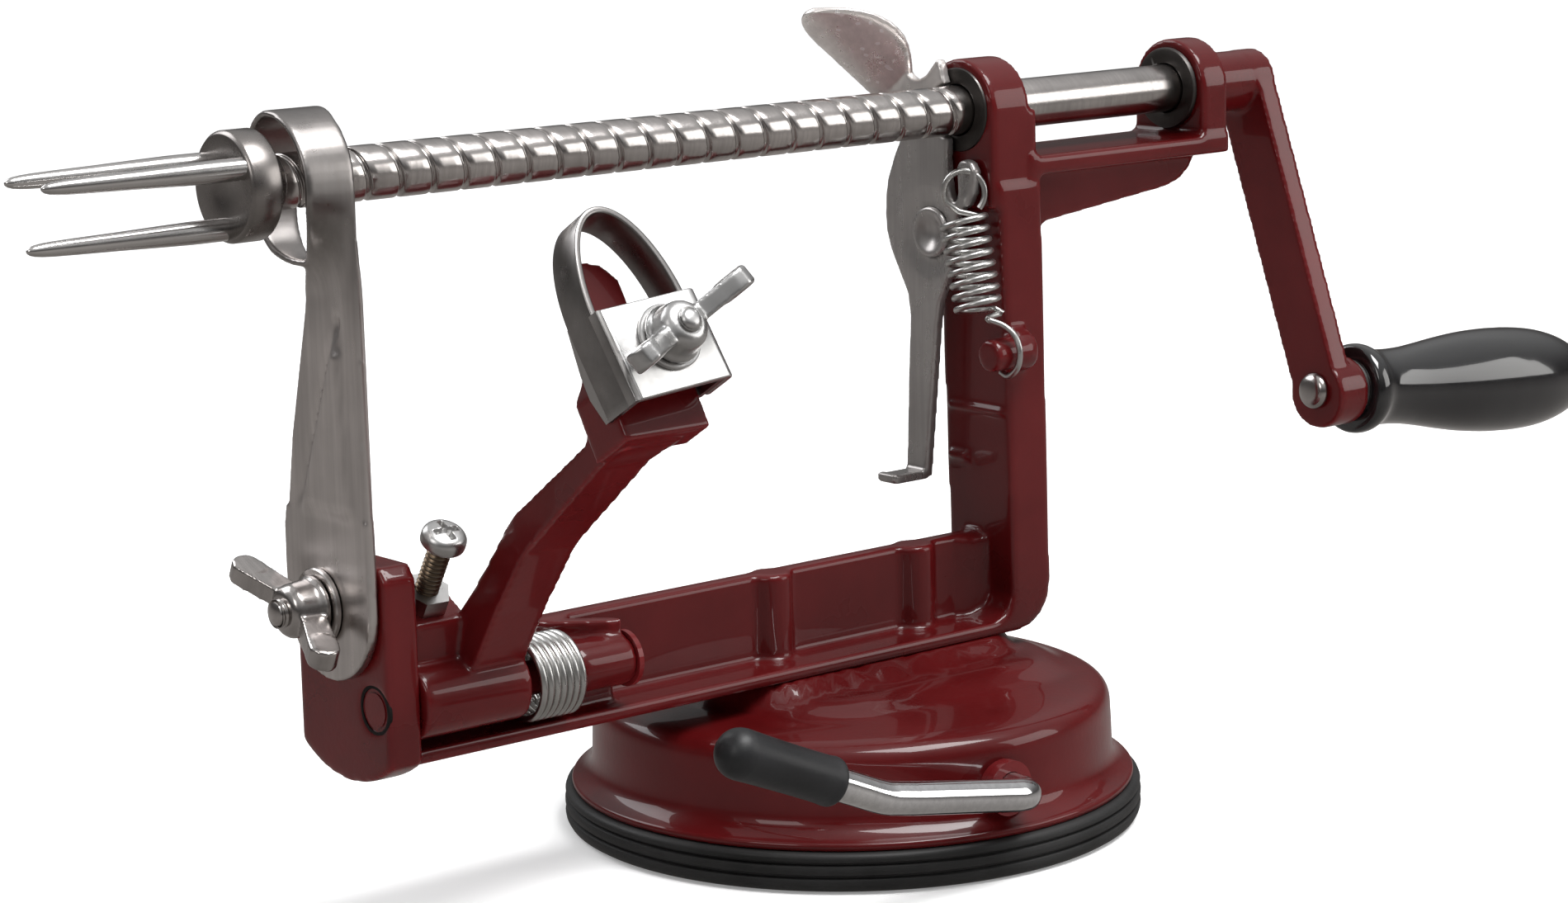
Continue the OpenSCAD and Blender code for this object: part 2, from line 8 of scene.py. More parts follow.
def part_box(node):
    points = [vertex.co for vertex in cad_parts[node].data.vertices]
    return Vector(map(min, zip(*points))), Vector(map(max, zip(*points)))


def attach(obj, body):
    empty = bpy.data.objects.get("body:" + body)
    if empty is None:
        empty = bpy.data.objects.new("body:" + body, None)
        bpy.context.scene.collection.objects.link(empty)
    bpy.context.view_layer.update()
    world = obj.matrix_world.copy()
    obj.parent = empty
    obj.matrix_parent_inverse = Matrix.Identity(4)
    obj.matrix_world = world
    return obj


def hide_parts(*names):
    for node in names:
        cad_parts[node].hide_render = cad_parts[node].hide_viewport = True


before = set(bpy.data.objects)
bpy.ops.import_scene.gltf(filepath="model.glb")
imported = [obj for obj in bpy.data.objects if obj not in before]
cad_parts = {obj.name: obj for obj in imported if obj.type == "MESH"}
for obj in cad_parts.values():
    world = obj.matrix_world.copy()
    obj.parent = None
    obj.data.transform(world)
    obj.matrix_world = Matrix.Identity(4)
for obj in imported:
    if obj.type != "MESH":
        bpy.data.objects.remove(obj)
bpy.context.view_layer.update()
MM = 0.001              # metres in a millimetre
VOXEL_SMOOTH = 0.5      # share of each smoothing step after a voxel remesh


# ------------------------------------------------------------------ materials
def node_mat(name, base, metallic=0.0, rough=0.4, coat=0.0, coat_rough=0.05, spec=0.5):
    m = bpy.data.materials.new(name)
    m.use_nodes = True
    nt = m.node_tree
    b = nt.nodes["Principled BSDF"]
    b.inputs["Base Color"].default_value = (*base, 1)
    b.inputs["Metallic"].default_value = metallic
    b.inputs["Roughness"].default_value = rough
    b.inputs["IOR"].default_value = 1.5
    b.inputs["Specular IOR Level"].default_value = spec
    b.inputs["Coat Weight"].default_value = coat
    b.inputs["Coat Roughness"].default_value = coat_rough
    return m, nt, b


def coords(nt, scale=(1, 1, 1)):
    t = nt.nodes.new("ShaderNodeTexCoord")
    mp = nt.nodes.new("ShaderNodeMapping")
    mp.inputs["Scale"].default_value = scale
    nt.links.new(t.outputs["Object"], mp.inputs["Vector"])
    return mp.outputs["Vector"]


def noise(nt, vec, scale, detail=3, rough=0.5):
    n = nt.nodes.new("ShaderNodeTexNoise")
    n.inputs["Scale"].default_value = scale
    n.inputs["Detail"].default_value = detail
    n.inputs["Roughness"].default_value = rough
    nt.links.new(vec, n.inputs["Vector"])
    return n.outputs["Fac"]


def ramp(nt, fac, stops):
    r = nt.nodes.new("ShaderNodeValToRGB")
    while len(r.color_ramp.elements) < len(stops):
        r.color_ramp.elements.new(0.5)
    for e, (p, c) in zip(r.color_ramp.elements, stops):
        e.position = p
        e.color = c if len(c) == 4 else (*c, 1)
    nt.links.new(fac, r.inputs["Fac"])
    return r.outputs["Color"]


def maprange(nt, fac, a, b, c, d):
    r = nt.nodes.new("ShaderNodeMapRange")
    for k, v in zip(("From Min", "From Max", "To Min", "To Max"), (a, b, c, d)):
        r.inputs[k].default_value = v
    nt.links.new(fac, r.inputs["Value"])
    return r.outputs["Result"]


def mix(nt, fac, a, b, blend="MIX"):
    m = nt.nodes.new("ShaderNodeMix")
    m.data_type = "RGBA"
    m.blend_type = blend
    for s, v in ((0, fac), (6, a), (7, b)):
        if isinstance(v, (int, float)):
            m.inputs[s].default_value = v
        elif isinstance(v, tuple):
            m.inputs[s].default_value = (*v, 1)
        else:
            nt.links.new(v, m.inputs[s])
    return m.outputs[2]


def bump(nt, b, height, strength, dist, prev=None):
    n = nt.nodes.new("ShaderNodeBump")
    n.inputs["Strength"].default_value = strength
    n.inputs["Distance"].default_value = dist
    nt.links.new(height, n.inputs["Height"])
    if prev is not None:
        nt.links.new(prev, n.inputs["Normal"])
    nt.links.new(n.outputs["Normal"], b.inputs["Normal"])
    return n.outputs["Normal"]


def pointy(nt):
    g = nt.nodes.new("ShaderNodeNewGeometry")
    return g.outputs["Pointiness"]


def shade(color, k):
    return tuple(min(1, c * k) for c in color)


def enamel(name, base=(0.069, 0.0031, 0.0037), edge=(0.15, 0.011, 0.013)):
    m, nt, b = node_mat(name, base, 0.0, 0.3, coat=0.5, coat_rough=0.035, spec=0.12)
    v = coords(nt)
    big = noise(nt, v, 38, 4, 0.55)
    fine = noise(nt, v, 900, 2, 0.5)
    speck = noise(nt, v, 2600, 2, 0.6)
    col = ramp(nt, big, [(0.3, shade(base, 0.78)), (0.5, base), (0.72, shade(base, 1.22))])
    # a painted highlight in the edge colour along convex edges
    edge_highlight = maprange(nt, pointy(nt), 0.52, 0.60, 0.0, 0.55)
    col = mix(nt, edge_highlight, col, edge)
    # painted shade in the corners, darkest where the surface is most hollow
    corner_shade = maprange(nt, pointy(nt), 0.40, 0.48, 0.62, 0.0)
    col = mix(nt, corner_shade, col, (0.018, 0.003, 0.004))
    chips = maprange(nt, speck, 0.70, 0.74, 0.0, 0.28)
    col = mix(nt, chips, col, (0.04, 0.006, 0.007))
    nt.links.new(col, b.inputs["Base Color"])
    nt.links.new(maprange(nt, big, 0.3, 0.7, 0.24, 0.40), b.inputs["Roughness"])
    n1 = bump(nt, b, fine, 0.16, 0.00012)
    bump(nt, b, big, 0.22, 0.0004, n1)
    return m


def steel(name, base, rough, grain, dark, scratch, blotch=34, wave=0.05, painted_light_zone=None):
    """Plated or brushed steel: fine grain along one direction, cloudy roughness, painted shade in the hollows and a
    painted highlight along convex edges. dark is the blotches' darkest shade, scratch and wave are how deep the
    grain and the blotches bump.
    zone is (z from, z to, colour factor, banded): over that stretch of height and above it the colour is scaled by
    the factor, as painted shade for a factor below 1 and as a painted highlight above 1; banded adds stripes of
    painted shade."""
    m, nt, b = node_mat(name, base, 1.0, 0.3)
    v = coords(nt)
    g = noise(nt, coords(nt, grain), 1.0, 3, 0.6)
    cloud = noise(nt, v, blotch, 5, 0.6)
    cloud2 = noise(nt, v, 190, 3, 0.5)
    col = ramp(nt, cloud, [(0.28, shade(base, dark)), (0.5, base), (0.75, shade(base, 1.3))])
    col = mix(nt, maprange(nt, g, 0.35, 0.7, 0.0, 0.35), col, shade(base, 0.62))
    # painted shade in the hollows, then a painted highlight along convex edges
    col = mix(nt, maprange(nt, pointy(nt), 0.38, 0.465, 0.7, 0.0), col, shade(base, 0.22))
    col = mix(nt, maprange(nt, pointy(nt), 0.55, 0.62, 0.0, 0.4), col, (0.70, 0.69, 0.68))
    # painted light over a stretch of height: painted shade for a factor below 1, a painted highlight above 1, and
    # stripes of painted shade when banded
    if painted_light_zone:
        sep = nt.nodes.new("ShaderNodeSeparateXYZ")
        nt.links.new(coords(nt), sep.inputs[0])
        z_from, z_to, factor, shade_banded = painted_light_zone
        k = maprange(nt, sep.outputs["Z"], z_from, z_to, 0.0, 1.0)
        col = mix(nt, k, col, mix(nt, 1.0, col, factor, "MULTIPLY"))
        if shade_banded:
            shade_bands = noise(nt, coords(nt, (1, 170, 5)), 1.0, 3, 0.6)
            col = mix(nt, maprange(nt, shade_bands, 0.42, 0.62, 0.0, 0.45), col, shade(base, 0.55))
    nt.links.new(col, b.inputs["Base Color"])
    r = mix(nt, 0.5, maprange(nt, cloud2, 0.3, 0.7, *rough), maprange(nt, g, 0.3, 0.7, *rough))
    nt.links.new(r, b.inputs["Roughness"])
    n1 = bump(nt, b, g, scratch, 0.00006)
    bump(nt, b, cloud, wave, 0.0003, n1)
    return m


def dark_surface(name, base, rough, coat, mottled, spec, bumpy=(1500, 0.12, 0.00006)):
    """Rubber, lacquer or the painted shade of a gap: bumpy is (noise scale, bump strength, bump distance)."""
    m, nt, b = node_mat(name, base, 0.0, 0.3, coat=coat, coat_rough=0.04, spec=spec)
    v = coords(nt)
    a = noise(nt, v, 60, 4, 0.55)
    f = noise(nt, v, bumpy[0], 2, 0.5)
    col = ramp(nt, a, [(0.3, shade(base, 1 - mottled)), (0.5, base), (0.75, shade(base, 1 + mottled))])
    nt.links.new(col, b.inputs["Base Color"])
    nt.links.new(maprange(nt, a, 0.3, 0.7, *rough), b.inputs["Roughness"])
    bump(nt, b, f, bumpy[1], bumpy[2])
    return m


def by_name(groups):
    """{"a": "x y"} as {"x": "a", "y": "a"}."""
    return {name: key for key, names in groups.items() for name in names.split()}


M = {
    "enamel": enamel("enamel_wine"),
    "nickel": steel("nickel_sheet", (0.36, 0.335, 0.325), (0.24, 0.36), (700, 700, 30), 0.72, 0.12, 26),
    # painted shade over the twist and coring ring, above 102 to 124 mm, with stripes of painted shade across the
    # whole strip
    "strip": steel("strip_steel", (0.72, 0.675, 0.655), (0.25, 0.36), (700, 700, 30), 0.78, 0.12, 26, 0.02,
                   (0.102, 0.124, (0.42, 0.42, 0.42), True)),
    "blade": steel("blade_steel", (0.28, 0.268, 0.262), (0.24, 0.36), (300, 300, 300), 0.75, 0.1, 40),
    # a painted highlight on the release paddle: colour 2.5 times brighter above 128 to 136 mm
    "satin": steel("satin_sheet", (0.36, 0.34, 0.33), (0.24, 0.34), (700, 700, 30), 0.74, 0.1, 26, 0.02,
                   (0.128, 0.136, (2.5, 2.5, 2.5), False)),
    "tine": steel("tine_steel", (0.60, 0.585, 0.575), (0.14, 0.22), (20, 400, 400), 0.85, 0.02, 20, 0.004),
    "brass": steel("dull_brass", (0.17, 0.125, 0.085), (0.26, 0.42), (900, 900, 900), 0.6, 0.2),
    "nickel_x": steel("nickel_turned", (0.52, 0.49, 0.475), (0.15, 0.26), (1500, 50, 50), 0.74, 0.06, 60, 0.015),
    "hub": steel("hub_iron", (0.27, 0.25, 0.24), (0.22, 0.34), (300, 300, 300), 0.7, 0.12),
    "bright": steel("bright_plate", (0.60, 0.595, 0.59), (0.24, 0.36), (300, 300, 300), 0.84, 0.05),
    "chrome": steel("chrome_rod", (0.80, 0.80, 0.81), (0.05, 0.14), (900, 900, 900), 0.85, 0.05),
    "spring": steel("spring_wire", (0.60, 0.595, 0.58), (0.25, 0.33), (500, 500, 500), 0.8, 0.02, wave=0.004),
    "bush": steel("bush_bronze", (0.075, 0.068, 0.064), (0.34, 0.52), (500, 500, 500), 0.5, 0.3),
    # near-black painted shade for a gap
    "gap": dark_surface("painted_gap_shade", (0.006, 0.0035, 0.003), (0.6, 0.8), 0.0, 0.3, 0.2),
    "rubber": dark_surface("rubber_black", (0.0115, 0.0112, 0.0112), (0.48, 0.66), 0, 0.5, 0.35, (1300, 0.3, 1e-4)),
    "sleeve": dark_surface("sleeve_rubber", (0.009, 0.009, 0.01), (0.38, 0.52), 0, 0.4, 0.4, (1100, 0.25, 1e-4)),
    "grip": dark_surface("grip_lacquer", (0.0055, 0.0055, 0.006), (0.1, 0.18), 0.8, 0.3, 0.5, (420, 0.05, 1e-4)),
}
# the satin sheet is partly dull, so it picks up the key light
M["satin"].node_tree.nodes["Principled BSDF"].inputs["Metallic"].default_value = 0.78

# the finish of every CAD node, whether it stays visible or is replaced
KEEP = by_name({
    "bright": "base_screws handle_washer handle_ferrule slicer_washer blade_washer stop_nut "
              "slicer_bolt blade_saddle blade_bolt blade_wing_nut stop_screw fork_tines",
    "bush": "front_bush rear_bush",
    "enamel": "peeler_pin pin_clip lever_bush frame_casting base_dome peeler_arm crank_arm "
              "crank_collar",
    "nickel": "cam_bracket suction_cams pad_plate stem_crosshead slicer_blade peeler_blade "
              "release_lever",
    "nickel_x": "shaft_core pad_stem handle_bolt slicer_wing_nut release_rivet feed_screw "
                "feed_thread crank_end_screw",
    "rubber": "suction_pad",
    "spring": "torsion_spring tension_spring",
    "hub": "fork_hub",
    "grip": "handle_grip",
    "chrome": "lever_rod",
    "sleeve": "lever_grip",
})
for n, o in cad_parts.items():
    o.data.materials.clear()
    o.data.materials.append(M[KEEP[n]])


# ------------------------------------------------------------------ mesh tools (millimetres in, metres out)
def new_object(name, data):
    ob = bpy.data.objects.new(name, data)
    bpy.context.scene.collection.objects.link(ob)
    return ob


def finish_obj(name, mesh, mat, body, nodes=(), angle=None):
    """Makes mesh a visible piece that rides body and stands for the CAD nodes."""
    ob = new_object(name, mesh)
    mesh.materials.clear()
    mesh.materials.append(M[mat])
    for p in mesh.polygons:
        p.use_smooth = True
    if angle is not None:
        mesh.set_sharp_from_angle(angle=math.radians(angle))
    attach(ob, body)
    if nodes:
        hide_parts(*nodes)
    return ob


def edited(mesh, *steps):
    """mesh after each step, a function of its bmesh."""
    bm = bmesh.new()
    bm.from_mesh(mesh)
    for step in steps:
        step(bm)
    bm.to_mesh(mesh)
    bm.free()
    return mesh


def face_outwards(bm):
    bmesh.ops.recalc_face_normals(bm, faces=bm.faces)


def to_mesh(name, verts, faces):
    me = bpy.data.meshes.new(name)
    me.from_pydata((np.array(verts, float) * MM).tolist(), [], [list(map(int, f)) for f in faces])
    me.validate()
    return edited(me, face_outwards)


def join_parts(parts):
    vs, fs, n = [], [], 0
    for v, f in parts:
        v = np.array(v, float).reshape(-1, 3)
        vs.append(v)
        fs += [[i + n for i in q] for q in f]
        n += len(v)
    return np.vstack(vs), fs


def ring_faces(m, n):
    """The skin of m rings of n points each, with a cap at both ends."""
    faces = [[i * n + k, i * n + (k + 1) % n, (i + 1) * n + (k + 1) % n, (i + 1) * n + k]
             for i in range(m - 1) for k in range(n)]
    return faces + [list(range(n))[::-1], [(m - 1) * n + k for k in range(n)]]


def sheet_faces(m, n):
    """The closed skin of two grids of m rows by n points, the second one behind the first."""
    back, faces = m * n, []
    for i in range(m - 1):
        for j in range(n - 1):
            a = i * n + j
            faces += [[a, a + 1, a + n + 1, a + n], [back + a, back + a + n, back + a + n + 1, back + a + 1]]
        for j in (0, n - 1):
            a = i * n + j
            faces.append([a, a + n, back + a + n, back + a])
    for i in (0, m - 1):
        for j in range(n - 1):
            a = i * n + j
            faces.append([a, a + 1, back + a + 1, back + a])
    return faces


def helix_faces(m, n, per):
    """The skin of a thread: m steps of n profile points, closed on itself one turn of per steps on."""
    faces = []
    for i in range(m):
        for k in range(n - 1):
            faces.append([i * n + k, i * n + k + 1, (i + 1) * n + k + 1, (i + 1) * n + k])
        if i + 1 + per <= m:
            faces.append([(i + 1) * n - 1, (i + per) * n, (i + 1 + per) * n, (i + 2) * n - 1])
    return faces


def tube(path, radius, n, up=(0.13, 0.31, 0.94)):
    """A round closed tube along points; up is any direction off the first tangent."""
    p = np.array(path, float)
    m = len(p)
    t = np.empty_like(p)
    t[1:-1] = p[2:] - p[:-2]
    t[0], t[-1] = (p[1] - p[0], p[-1] - p[-2])
    t /= np.linalg.norm(t, axis=1)[:, None]
    u = np.cross(t[0], up)
    u /= np.linalg.norm(u)
    verts = []
    for i in range(m):
        u = u - t[i] * (u @ t[i])
        u /= np.linalg.norm(u)
        w = np.cross(t[i], u)
        for k in range(n):
            a = 2 * math.pi * k / n
            verts.append(p[i] + radius * (math.cos(a) * u + math.sin(a) * w))
    return verts, ring_faces(m, n)


def lathe(profile, n=64, a=None, axis=None):
    """Revolves (r, h) points about Z, then puts Z along axis from a. Points with r 0 close it."""
    verts, rings = [], []
    for r, h in profile:
        if r <= 1e-6:
            rings.append([len(verts)])
            verts.append((0, 0, h))
        else:
            ring = []
            for k in range(n):
                t = 2 * math.pi * k / n
                ring.append(len(verts))
                verts.append((r * math.cos(t), r * math.sin(t), h))
            rings.append(ring)
    faces = []
    for p, q in zip(rings, rings[1:]):
        for k in range(n):
            k2 = (k + 1) % n
            if len(p) == 1 and len(q) == 1:
                continue
            if len(p) == 1:
                faces.append([p[0], q[k], q[k2]])
            elif len(q) == 1:
                faces.append([p[k], q[0], p[k2]])
            else:
                faces.append([p[k], q[k], q[k2], p[k2]])
    for ring, flip in ((rings[0], False), (rings[-1], True)):
        if len(ring) > 1 and profile[0] != profile[-1]:
            faces.append(ring if flip else ring[::-1])
    v = np.array(verts)
    if a is not None:
        z = Vector(axis).normalized()
        q = Vector((0, 0, 1)).rotation_difference(z)
        v = np.array([q @ Vector(p) + Vector(a) for p in v])
    return v, faces


def extrude(outline, h, m=None):
    """A straight prism of an outline in local x and y, from z 0 to h."""
    n = len(outline)
    v = [(x, y, 0) for x, y in outline] + [(x, y, h) for x, y in outline]
    f = [list(range(n))[::-1], list(range(n, 2 * n))] + [[k, (k + 1) % n, n + (k + 1) % n, n + k] for k in range(n)]
    if m is not None:
        v = [tuple(m @ Vector(p)) for p in v]
    return v, f


def block(a, b):
    return extrude([(a[0], a[1]), (b[0], a[1]), (b[0], b[1]), (a[0], b[1])], b[2] - a[2],
                   Matrix.Translation((0, 0, a[2])))


def placed(part, m):
    v, f = part
    return [tuple(m @ Vector(p)) for p in v], f


def piece(name, part, mat, body, nodes=(), angle=None):
    return finish_obj(name, to_mesh(name, *part), mat, body, nodes, angle)


def joined(first, *others):
    """The first mesh with the others added to it."""
    bm = bmesh.new()
    for mesh in (first, *others):
        bm.from_mesh(mesh)
    bm.to_mesh(first)
    bm.free()
    return first


def refined(mesh, mods):
    """mesh with modifiers applied: mods is a list of (type, settings)."""
    ob = new_object("tmp", mesh)
    for kind, settings in mods:
        md = ob.modifiers.new(kind, kind)
        for k, v in settings.items():
            setattr(md, k, v)
    dg = bpy.context.evaluated_depsgraph_get()
    out = bpy.data.meshes.new_from_object(ob.evaluated_get(dg), depsgraph=dg)
    bpy.data.objects.remove(ob)
    return out


def remesh(mesh, voxel, rounds, ratio=None):
    """One closed skin of cells voxel mm wide, smoothed and thinned to ratio of its faces."""
    mods = [("REMESH", dict(mode="VOXEL", voxel_size=voxel * MM)),
            ("SMOOTH", dict(factor=VOXEL_SMOOTH, iterations=rounds))]
    return refined(mesh, mods + ([("DECIMATE", dict(ratio=ratio))] if ratio else []))


def set_points(mesh, co):
    mesh.vertices.foreach_set("co", co.astype(np.float32).ravel())


def cast(name, mesh, voxel, rounds, mat, body, nodes):
    """One closed skin over the solids in mesh, with its edges and corners worn round as a casting's are."""
    solid = np.array([v.co for v in mesh.vertices])
    me = remesh(mesh, voxel, rounds)
    co = np.array([v.co for v in me.vertices])
    set_points(me, np.clip(co, solid.min(0), solid.max(0)))
    return finish_obj(name, me, mat, body, nodes)


def cad_copy(*names, extra=()):
    """The CAD nodes' solids as one mesh, in metres, with more solids added in millimetres."""
    bm = bmesh.new()
    for n in names:
        bm.from_mesh(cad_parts[n].data)
    bmesh.ops.remove_doubles(bm, verts=bm.verts, dist=1e-6)
    for v, f in extra:
        bm.from_mesh(to_mesh("extra", v, f))
    me = bpy.data.meshes.new("cad")
    bm.to_mesh(me)
    bm.free()
    return me


def arc(c, r, a0, a1, n):
    """Points on a circle, or an ellipse when r is a pair, from angle a0 to a1 in n steps."""
    rx, ry = r if isinstance(r, tuple) else (r, r)
    angles = [math.radians(a0 + (a1 - a0) * i / n) for i in range(n + 1)]
    return [(c[0] + rx * math.cos(a), c[1] + ry * math.sin(a)) for a in angles]


def smooth_path(pts, n):
    """Catmull-Rom through points, n steps a span."""
    p = np.array(pts, float)
    p = np.vstack([2 * p[0] - p[1], p, 2 * p[-1] - p[-2]])
    out = []
    for i in range(1, len(p) - 2):
        for k in range(n):
            t = k / n
            a, b, c, d = p[i - 1], p[i], p[i + 1], p[i + 2]
            out.append(0.5 * (2 * b + (c - a) * t + (2 * a - 5 * b + 4 * c - d) * t * t
                              + (3 * b - a - 3 * c + d) * t ** 3))
    out.append(p[-2])
    return np.array(out)


def smooth_profile(pts, n):
    """smooth_path for (r, h) points."""
    return smooth_path([(r, 0, h) for r, h in pts], n)[:, (0, 2)]


def shift(x, y, z):
    return Matrix.Translation((x, y, z))


def turn(degrees, axis):
    return Matrix.Rotation(math.radians(degrees), 4, axis)


def box_mm(node):
    lo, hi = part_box(node)
    return np.array(lo) * 1000, np.array(hi) * 1000


X_DIR = (1, 0, 0)
# local z along +X, local x along +Y, local y along +Z
AX = Matrix(((0, 0, 1, 0), (1, 0, 0, 0), (0, 1, 0, 0), (0, 0, 0, 1)))
# local z along -X, local x along -Y, local y along +Z
NX = Matrix(((0, 0, -1, 0), (-1, 0, 0, 0), (0, 1, 0, 0), (0, 0, 0, 1)))

B = {n: box_mm(n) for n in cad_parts}


def mid(n):
    return (B[n][0] + B[n][1]) / 2


shaft_z = mid("feed_screw")[2]
shaft_r = (B["feed_screw"][1][2] - B["feed_screw"][0][2]) / 2
ON_SHAFT = (0, 0, shaft_z), X_DIR   # start and direction for a lathe


def sstep(t):
    """0 below 0, 1 above 1, a smooth step between."""
    t = np.clip(t, 0, 1)
    return t * t * (3 - 2 * t)


def seg_dist(x, y, ax, ay, bx, by):
    """Distance of each (x, y) from the segment a to b."""
    px, py = x - ax, y - ay
    dx, dy = bx - ax, by - ay
    t = np.clip((px * dx + py * dy) / (dx * dx + dy * dy), 0, 1)
    return np.hypot(px - t * dx, py - t * dy)


# ---- casting of the frame
post_x = 31.2              # inner face of the post
foot_z, foot_height = 33, 15
# a sink line and a step left by the mould on the post's inner face, and a web in its foot
extra = [block((post_x - 0.1, y0, z0), (post_x + 2, y1, z1))
         for z0, z1, y0, y1 in ((72.6, 73.4, -8.6, 6.5), (62.6, 64.0, 1.5, 6.6))]
extra.append(extrude([(26.5, -1.4), (33.5, -3.2), (33.5, 4.4), (26.5, 3.2)], foot_height, shift(0, 0, foot_z)))
cast("frame_shell", cad_copy("frame_casting", extra=extra), 0.6, 7, "enamel", "frame", ["frame_casting"])

# a near-black ring as painted shade for the groove round the end of the arm's pivot pin
pin_x = B["peeler_pin"][0][0]
_, pin_y, pin_z = mid("peeler_pin")
groove_ring = [(3.72, -0.02), (4.15, -0.06), (4.5, -0.02), (4.55, 0.5), (3.7, 0.5), (3.72, -0.02)]
ring = lathe([(r, pin_x + h) for r, h in groove_ring], 64, (0, pin_y, pin_z), X_DIR)
piece("pin_groove", ring, "gap", "frame", angle=50)

# ---- dome: a spun shell with the seat of the beam blended into its top
dome_lo, dome_hi = B["base_dome"]
dome_z = dome_lo[2]
rim = (dome_hi[0] - dome_lo[0]) / 2
seat_z = dome_hi[2]
drawn_rim, drawn_z = 52.8, 7.4      # rim radius and underside height that the profile is drawn for
prof = [(0, 26), (14, 25.95), (26, 25.9), (34, 25.8), (40, 25.65), (44.2, 25.35), (46.4, 24.8), (47.7, 23.8),
        (48.4, 22.2), (48.6, 19.6), (48.75, 16.5), (48.85, 14.0), (49.05, 12.3), (49.6, 11.0), (50.6, 9.95),
        (51.8, 9.2), (52.6, 8.8), (52.8, 8.2), (52.6, 7.6), (52.2, 7.42)]
prof = [(r * rim / drawn_rim if r > 51 else r, z - drawn_z + dome_z) for r, z in prof]
outer = smooth_profile(prof, 4)
outer[:, 0] = np.clip(outer[:, 0], 0, rim)
outer[:, 1] = np.maximum(outer[:, 1], dome_z)
around = 160                        # points round the dome
angles = np.arange(around) * 2 * math.pi / around
vs, fs = [], []
for r, z in outer:
    x, y = r * np.cos(angles), r * np.sin(angles)
    height = np.full(around, z)
    if r < 46:
        # a broad swelling towards the seat, then the flat seat itself
        swell = seg_dist(x, y, -9, -5, 22, -5)
        height = height + 1.9 * sstep((24 - swell) / 9) * sstep((46 - r) / 8)
        k = sstep((13.6 - seg_dist(x, y, -20, 0, 24, 0)) / 3.2)
        height = height * (1 - k) + seat_z * k
    vs += list(zip(x, y, height))
inner = [(49.7, dome_z), (49.6, dome_z + 1.6), (46, dome_z + 1.7), (46, 18.8), (45.4, 20.2), (43.5, 22.0),
         (40, 22.8), (16.5, 22.8), (13.2, 28.2), (0.02, 28.3)]
for r, z in inner:
    vs += list(zip(r * np.cos(angles), r * np.sin(angles), np.full(around, z)))
for i in range(len(outer) + len(inner) - 1):
    for k in range(around):
        fs.append([i * around + k, (i + 1) * around + k, (i + 1) * around + (k + 1) % around,
                   i * around + (k + 1) % around])
me = edited(to_mesh("dome", vs, fs), lambda bm: bmesh.ops.remove_doubles(bm, verts=bm.verts, dist=2e-5),
            face_outwards)
finish_obj("dome_shell", me, "enamel", "frame", ["base_dome"], angle=50)

# ---- rubber pad with its three ribs
pad_lo, pad_hi = B["suction_pad"]
pr = (pad_hi[0] - pad_lo[0]) / 2
prof = [(0, 0), (20, 0), (40, 0.02), (51.8, 0.1), (pr - 1.3, 0.3), (pr - 0.5, 0.8), (pr - 0.12, 1.5), (pr, 2.2),
        (pr - 0.15, 2.7), (pr - 0.75, 3.0), (pr - 0.75, 3.25), (pr - 0.12, 3.55), (pr, 4.1), (pr, 4.6),
        (pr - 0.15, 5.05), (pr - 0.8, 5.35), (pr - 0.8, 5.6), (pr - 0.2, 5.85), (pr - 0.1, 6.4), (pr - 0.3, 6.95),
        (pr - 0.8, 7.3), (pr - 1.6, 7.4), (49.65, 7.4), (49.6, 9), (46.2, 9), (45.2, 4.2), (36, 2.6), (18, 2.4),
        (16.6, 5), (13, 5), (13, 1.2), (0, 1.2)]
piece("pad_rubber", lathe(prof, 160), "rubber", "frame", ["suction_pad"], angle=42)

# ---- peeler arm
arm = cast("arm_shell", cad_copy("peeler_arm"), 0.5, 6, "enamel", "peeler", ["peeler_arm"])
# the blade head's own frame: x across the blade, y along it, z out of it
head_slope = turn(59, "X")
bolt_x, bolt_y, washer_z = -2, 7.2, 1.9
to_washer = head_slope.to_3x3() @ Vector((bolt_x, bolt_y, washer_z))
H = Matrix.Translation(Vector(mid("blade_washer")) - to_washer) @ head_slope
H_inv = H.inverted()
# room for the loop's left leg, which is askew
leg_x, leg_room = -11.2, 3.4
for v in arm.data.vertices:
    q = H_inv @ (v.co * 1000)
    if q.z < -5 and q.y > 3 and q.x < -6:
        q.x = max(q.x, leg_x + leg_room * float(sstep((q.y - 3) / 6)))
        v.co = (H @ q) * MM

# ---- crank arm with its collar
cast("crank_shell", cad_copy("crank_arm", "crank_collar"), 0.5, 6, "enamel", "crank", ["crank_arm", "crank_collar"])

# ---- feed screw: smooth shaft and rounded lands between sharp helical grooves
pitch, depth = 6.5, 0.62
x_min, x_end = B["feed_screw"][0][0], B["feed_screw"][1][0]
x_thr = 27.5               # where the grooves run out
per = 40                   # steps a turn
hw = pitch / 2
core_r = 2.65
land = [(-hw, depth), (-hw + 0.30, depth * 0.95), (-hw + 0.44, 0.30), (-hw + 0.56, 0.08), (-hw + 0.78, 0.01),
        (-1.2, 0.0), (0, 0.0), (1.2, 0.0), (hw - 0.78, 0.01), (hw - 0.56, 0.08), (hw - 0.44, 0.30),
        (hw - 0.30, depth * 0.95)]
steps = (int((x_thr + 1.6 - x_min) / pitch) + 2) * per
vs = []
for i in range(steps + 1):
    a = 2 * math.pi * (i - steps) / per
    for dx, dr in land:
        x = x_thr + pitch * (i - steps) / per + dx + hw + pitch
        r = shaft_r - dr * sstep((x_thr + 2.4 - x) / 2.2)
        vs.append((min(max(x, x_min), x_thr + 4.4), r * math.cos(a), shaft_z + r * math.sin(a)))
